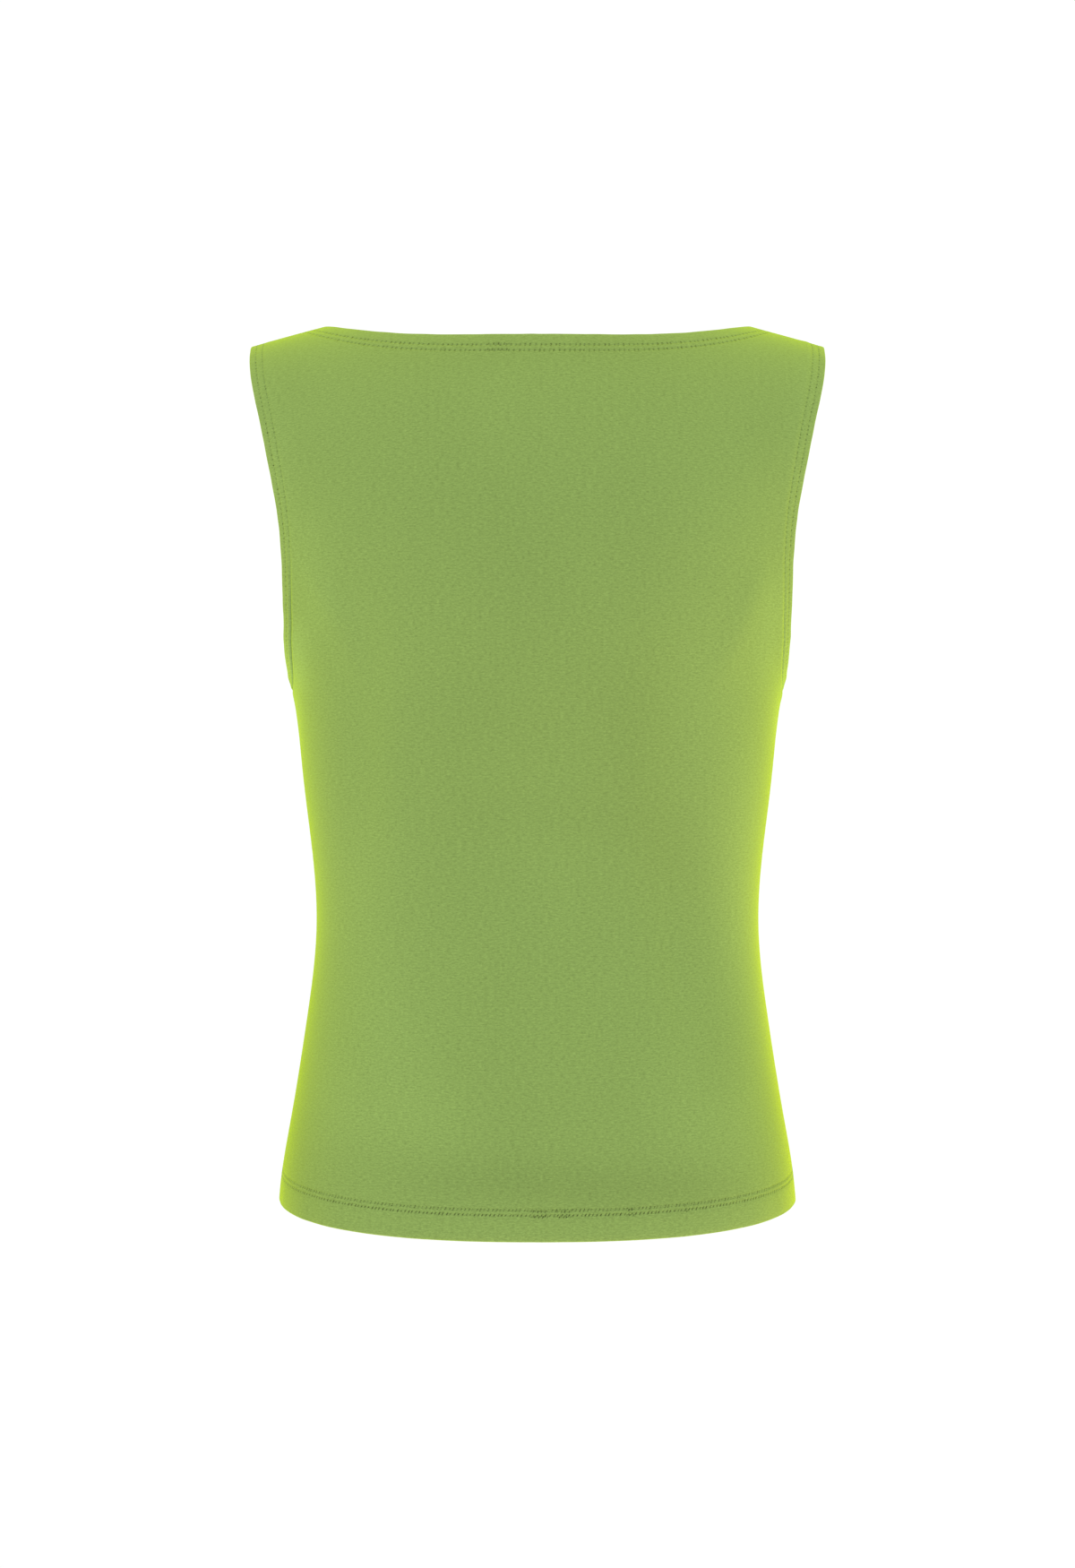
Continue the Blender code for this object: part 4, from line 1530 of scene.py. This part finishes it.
class TANKTOP_OT_coverstitch(bpy.types.Operator):
    """Sew the folded edges down: two rows of needle thread outside and the looper thread inside"""

    bl_idname = "tank_top.coverstitch"
    bl_label = "Coverstitch"

    def execute(self, context):
        settings = context.scene.tank_top_cloth
        values = thread_values(settings)
        for panel in PANELS:
            cloth = Cloth(panel)
            item = guide_object(panel.name + "_needle_thread", stitch_guides(cloth))
            lay_threads(item, values)
            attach(item, "root")
            inner = guide_object(panel.name + "_looper_thread", looper_guides(cloth, settings))
            lay_threads(inner, {**values, **SLANTING_THREAD})
            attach(inner, "root")
        return {"FINISHED"}


class TANKTOP_OT_allowances(bpy.types.Operator):
    """Lay the side and shoulder seams' allowances against the back and overlock them"""

    bl_idname = "tank_top.allowances"
    bl_label = "Seam allowances"

    def execute(self, context):
        settings = context.scene.tank_top_cloth
        reverse = material_set()[1]
        cloth = Cloth(BACK)
        layer = settings.cloth_thickness
        depths = [layer * 1.5 + LAYER_GAP, layer * 2.5 + 2 * LAYER_GAP]
        for seam in ("side", "shoulder"):
            for sign, side in ((1, "right"), (-1, "left")):
                name = f"{seam}_seam_{side}"
                along_seam = seam_run(cloth, seam, sign)
                flip = (seam == "side") == (sign > 0)
                points, faces, flat = allowance_mesh(cloth, along_seam, depths, settings.allowance, flip)
                item = mesh_object(name, points, faces, (reverse,))
                lay_flat(item, flat, np.full((len(points), 3), FAR))
                give_wall(item, layer)
                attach(item, "root")
                sewn = overlock_guides(cloth, along_seam, depths[1] + layer / 2)
                thread = guide_object(name + "_thread", sewn)
                lay_threads(thread, {**thread_values(settings), **SLANTING_THREAD})
                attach(thread, "root")
        return {"FINISHED"}


class TANKTOP_OT_stage(bpy.types.Operator):
    """Set up the pale floor, the soft light and the camera"""

    bl_idname = "tank_top.stage"
    bl_label = "Stage"

    def execute(self, context):
        scene = context.scene
        studio = scene.tank_top_studio
        world = bpy.data.worlds.new("white_surround")
        world.use_nodes = True
        background = world.node_tree.nodes["Background"]
        background.inputs["Color"].default_value = (1.0, 1.0, 1.0, 1.0)
        background.inputs["Strength"].default_value = studio.surround
        scene.world = world
        scene.view_settings.view_transform = "Standard"
        scene.view_settings.look = "None"
        self.floor(studio.floor_level)
        for box in SOFTBOXES:
            self.add_softbox(scene, box, studio)
        camera = bpy.data.objects.new("camera", bpy.data.cameras.new("camera"))
        camera.location = 0.0, -studio.distance, studio.height
        camera.rotation_euler = math.pi / 2, 0.0, 0.0
        camera.data.lens = studio.lens
        camera.data.sensor_width = SENSOR_WIDTH
        camera.data.sensor_fit = "AUTO"
        scene.collection.objects.link(camera)
        scene.camera = camera
        return {"FINISHED"}

    def floor(self, level):
        half = FLOOR_SIZE / 2
        corners = [(-half, -half, level), (half, -half, level), (half, half, level), (-half, half, level)]
        material, s, inputs = new_material("pale_floor_paint")
        clouds = s.noise(s.node("ShaderNodeTexCoord").outputs["Object"], 3.0)
        s.link(s.scaled((1.0, 1.0, 1.0), s.ramp(clouds, 0.3, 0.7, 0.975, 0.99)), inputs["Base Color"])
        inputs["Roughness"].default_value = 0.9
        return mesh_object("pale_floor", corners, [(0, 1, 2, 3)], (material,))

    def add_softbox(self, scene, box, studio):
        light = bpy.data.lights.new(box.name, "AREA")
        light.shape = "SQUARE"
        light.size = SOFTBOX_SIZE
        light.energy = getattr(studio, box.power)
        light.color = box.colour
        item = bpy.data.objects.new(box.name, light)
        item.location = box.across, SOFTBOX_BACK, studio.light_level
        target = Vector((0.0, 0.0, studio.height))
        item.rotation_euler = (target - item.location).to_track_quat("-Z", "Y").to_euler()
        item.visible_camera = False
        scene.collection.objects.link(item)


class TANKTOP_PT_maker(bpy.types.Panel):
    """Lists the settings and the pieces"""

    bl_label = "Tank Top"
    bl_idname = "TANKTOP_PT_maker"
    bl_space_type = "VIEW_3D"
    bl_region_type = "UI"
    bl_category = "Tank Top"

    def draw(self, context):
        scene = context.scene
        groups = {
            "Cloth": scene.tank_top_cloth,
            "Finish": scene.tank_top_finish,
            "Studio": scene.tank_top_studio,
        }
        for title, group in groups.items():
            box = self.layout.box()
            box.label(text=title)
            for name in group.bl_rna.properties.keys():
                if name not in ("rna_type", "name"):
                    box.prop(group, name)
        for operator in OPERATORS:
            self.layout.operator(operator.bl_idname)


GROUPS = (TankTopCloth, TankTopFinish, TankTopStudio)
OPERATORS = (TANKTOP_OT_panels, TANKTOP_OT_coverstitch, TANKTOP_OT_allowances, TANKTOP_OT_stage)


def register():
    for item in (*GROUPS, *OPERATORS, TANKTOP_PT_maker):
        bpy.utils.register_class(item)
    bpy.types.Scene.tank_top_cloth = PointerProperty(type=TankTopCloth)
    bpy.types.Scene.tank_top_finish = PointerProperty(type=TankTopFinish)
    bpy.types.Scene.tank_top_studio = PointerProperty(type=TankTopStudio)


def unregister():
    del bpy.types.Scene.tank_top_studio
    del bpy.types.Scene.tank_top_finish
    del bpy.types.Scene.tank_top_cloth
    for item in reversed((*GROUPS, *OPERATORS, TANKTOP_PT_maker)):
        bpy.utils.unregister_class(item)


def main():
    register()
    bpy.ops.tank_top.panels()
    bpy.ops.tank_top.coverstitch()
    bpy.ops.tank_top.allowances()
    bpy.ops.tank_top.stage()


if __name__ == "__main__":
    main()
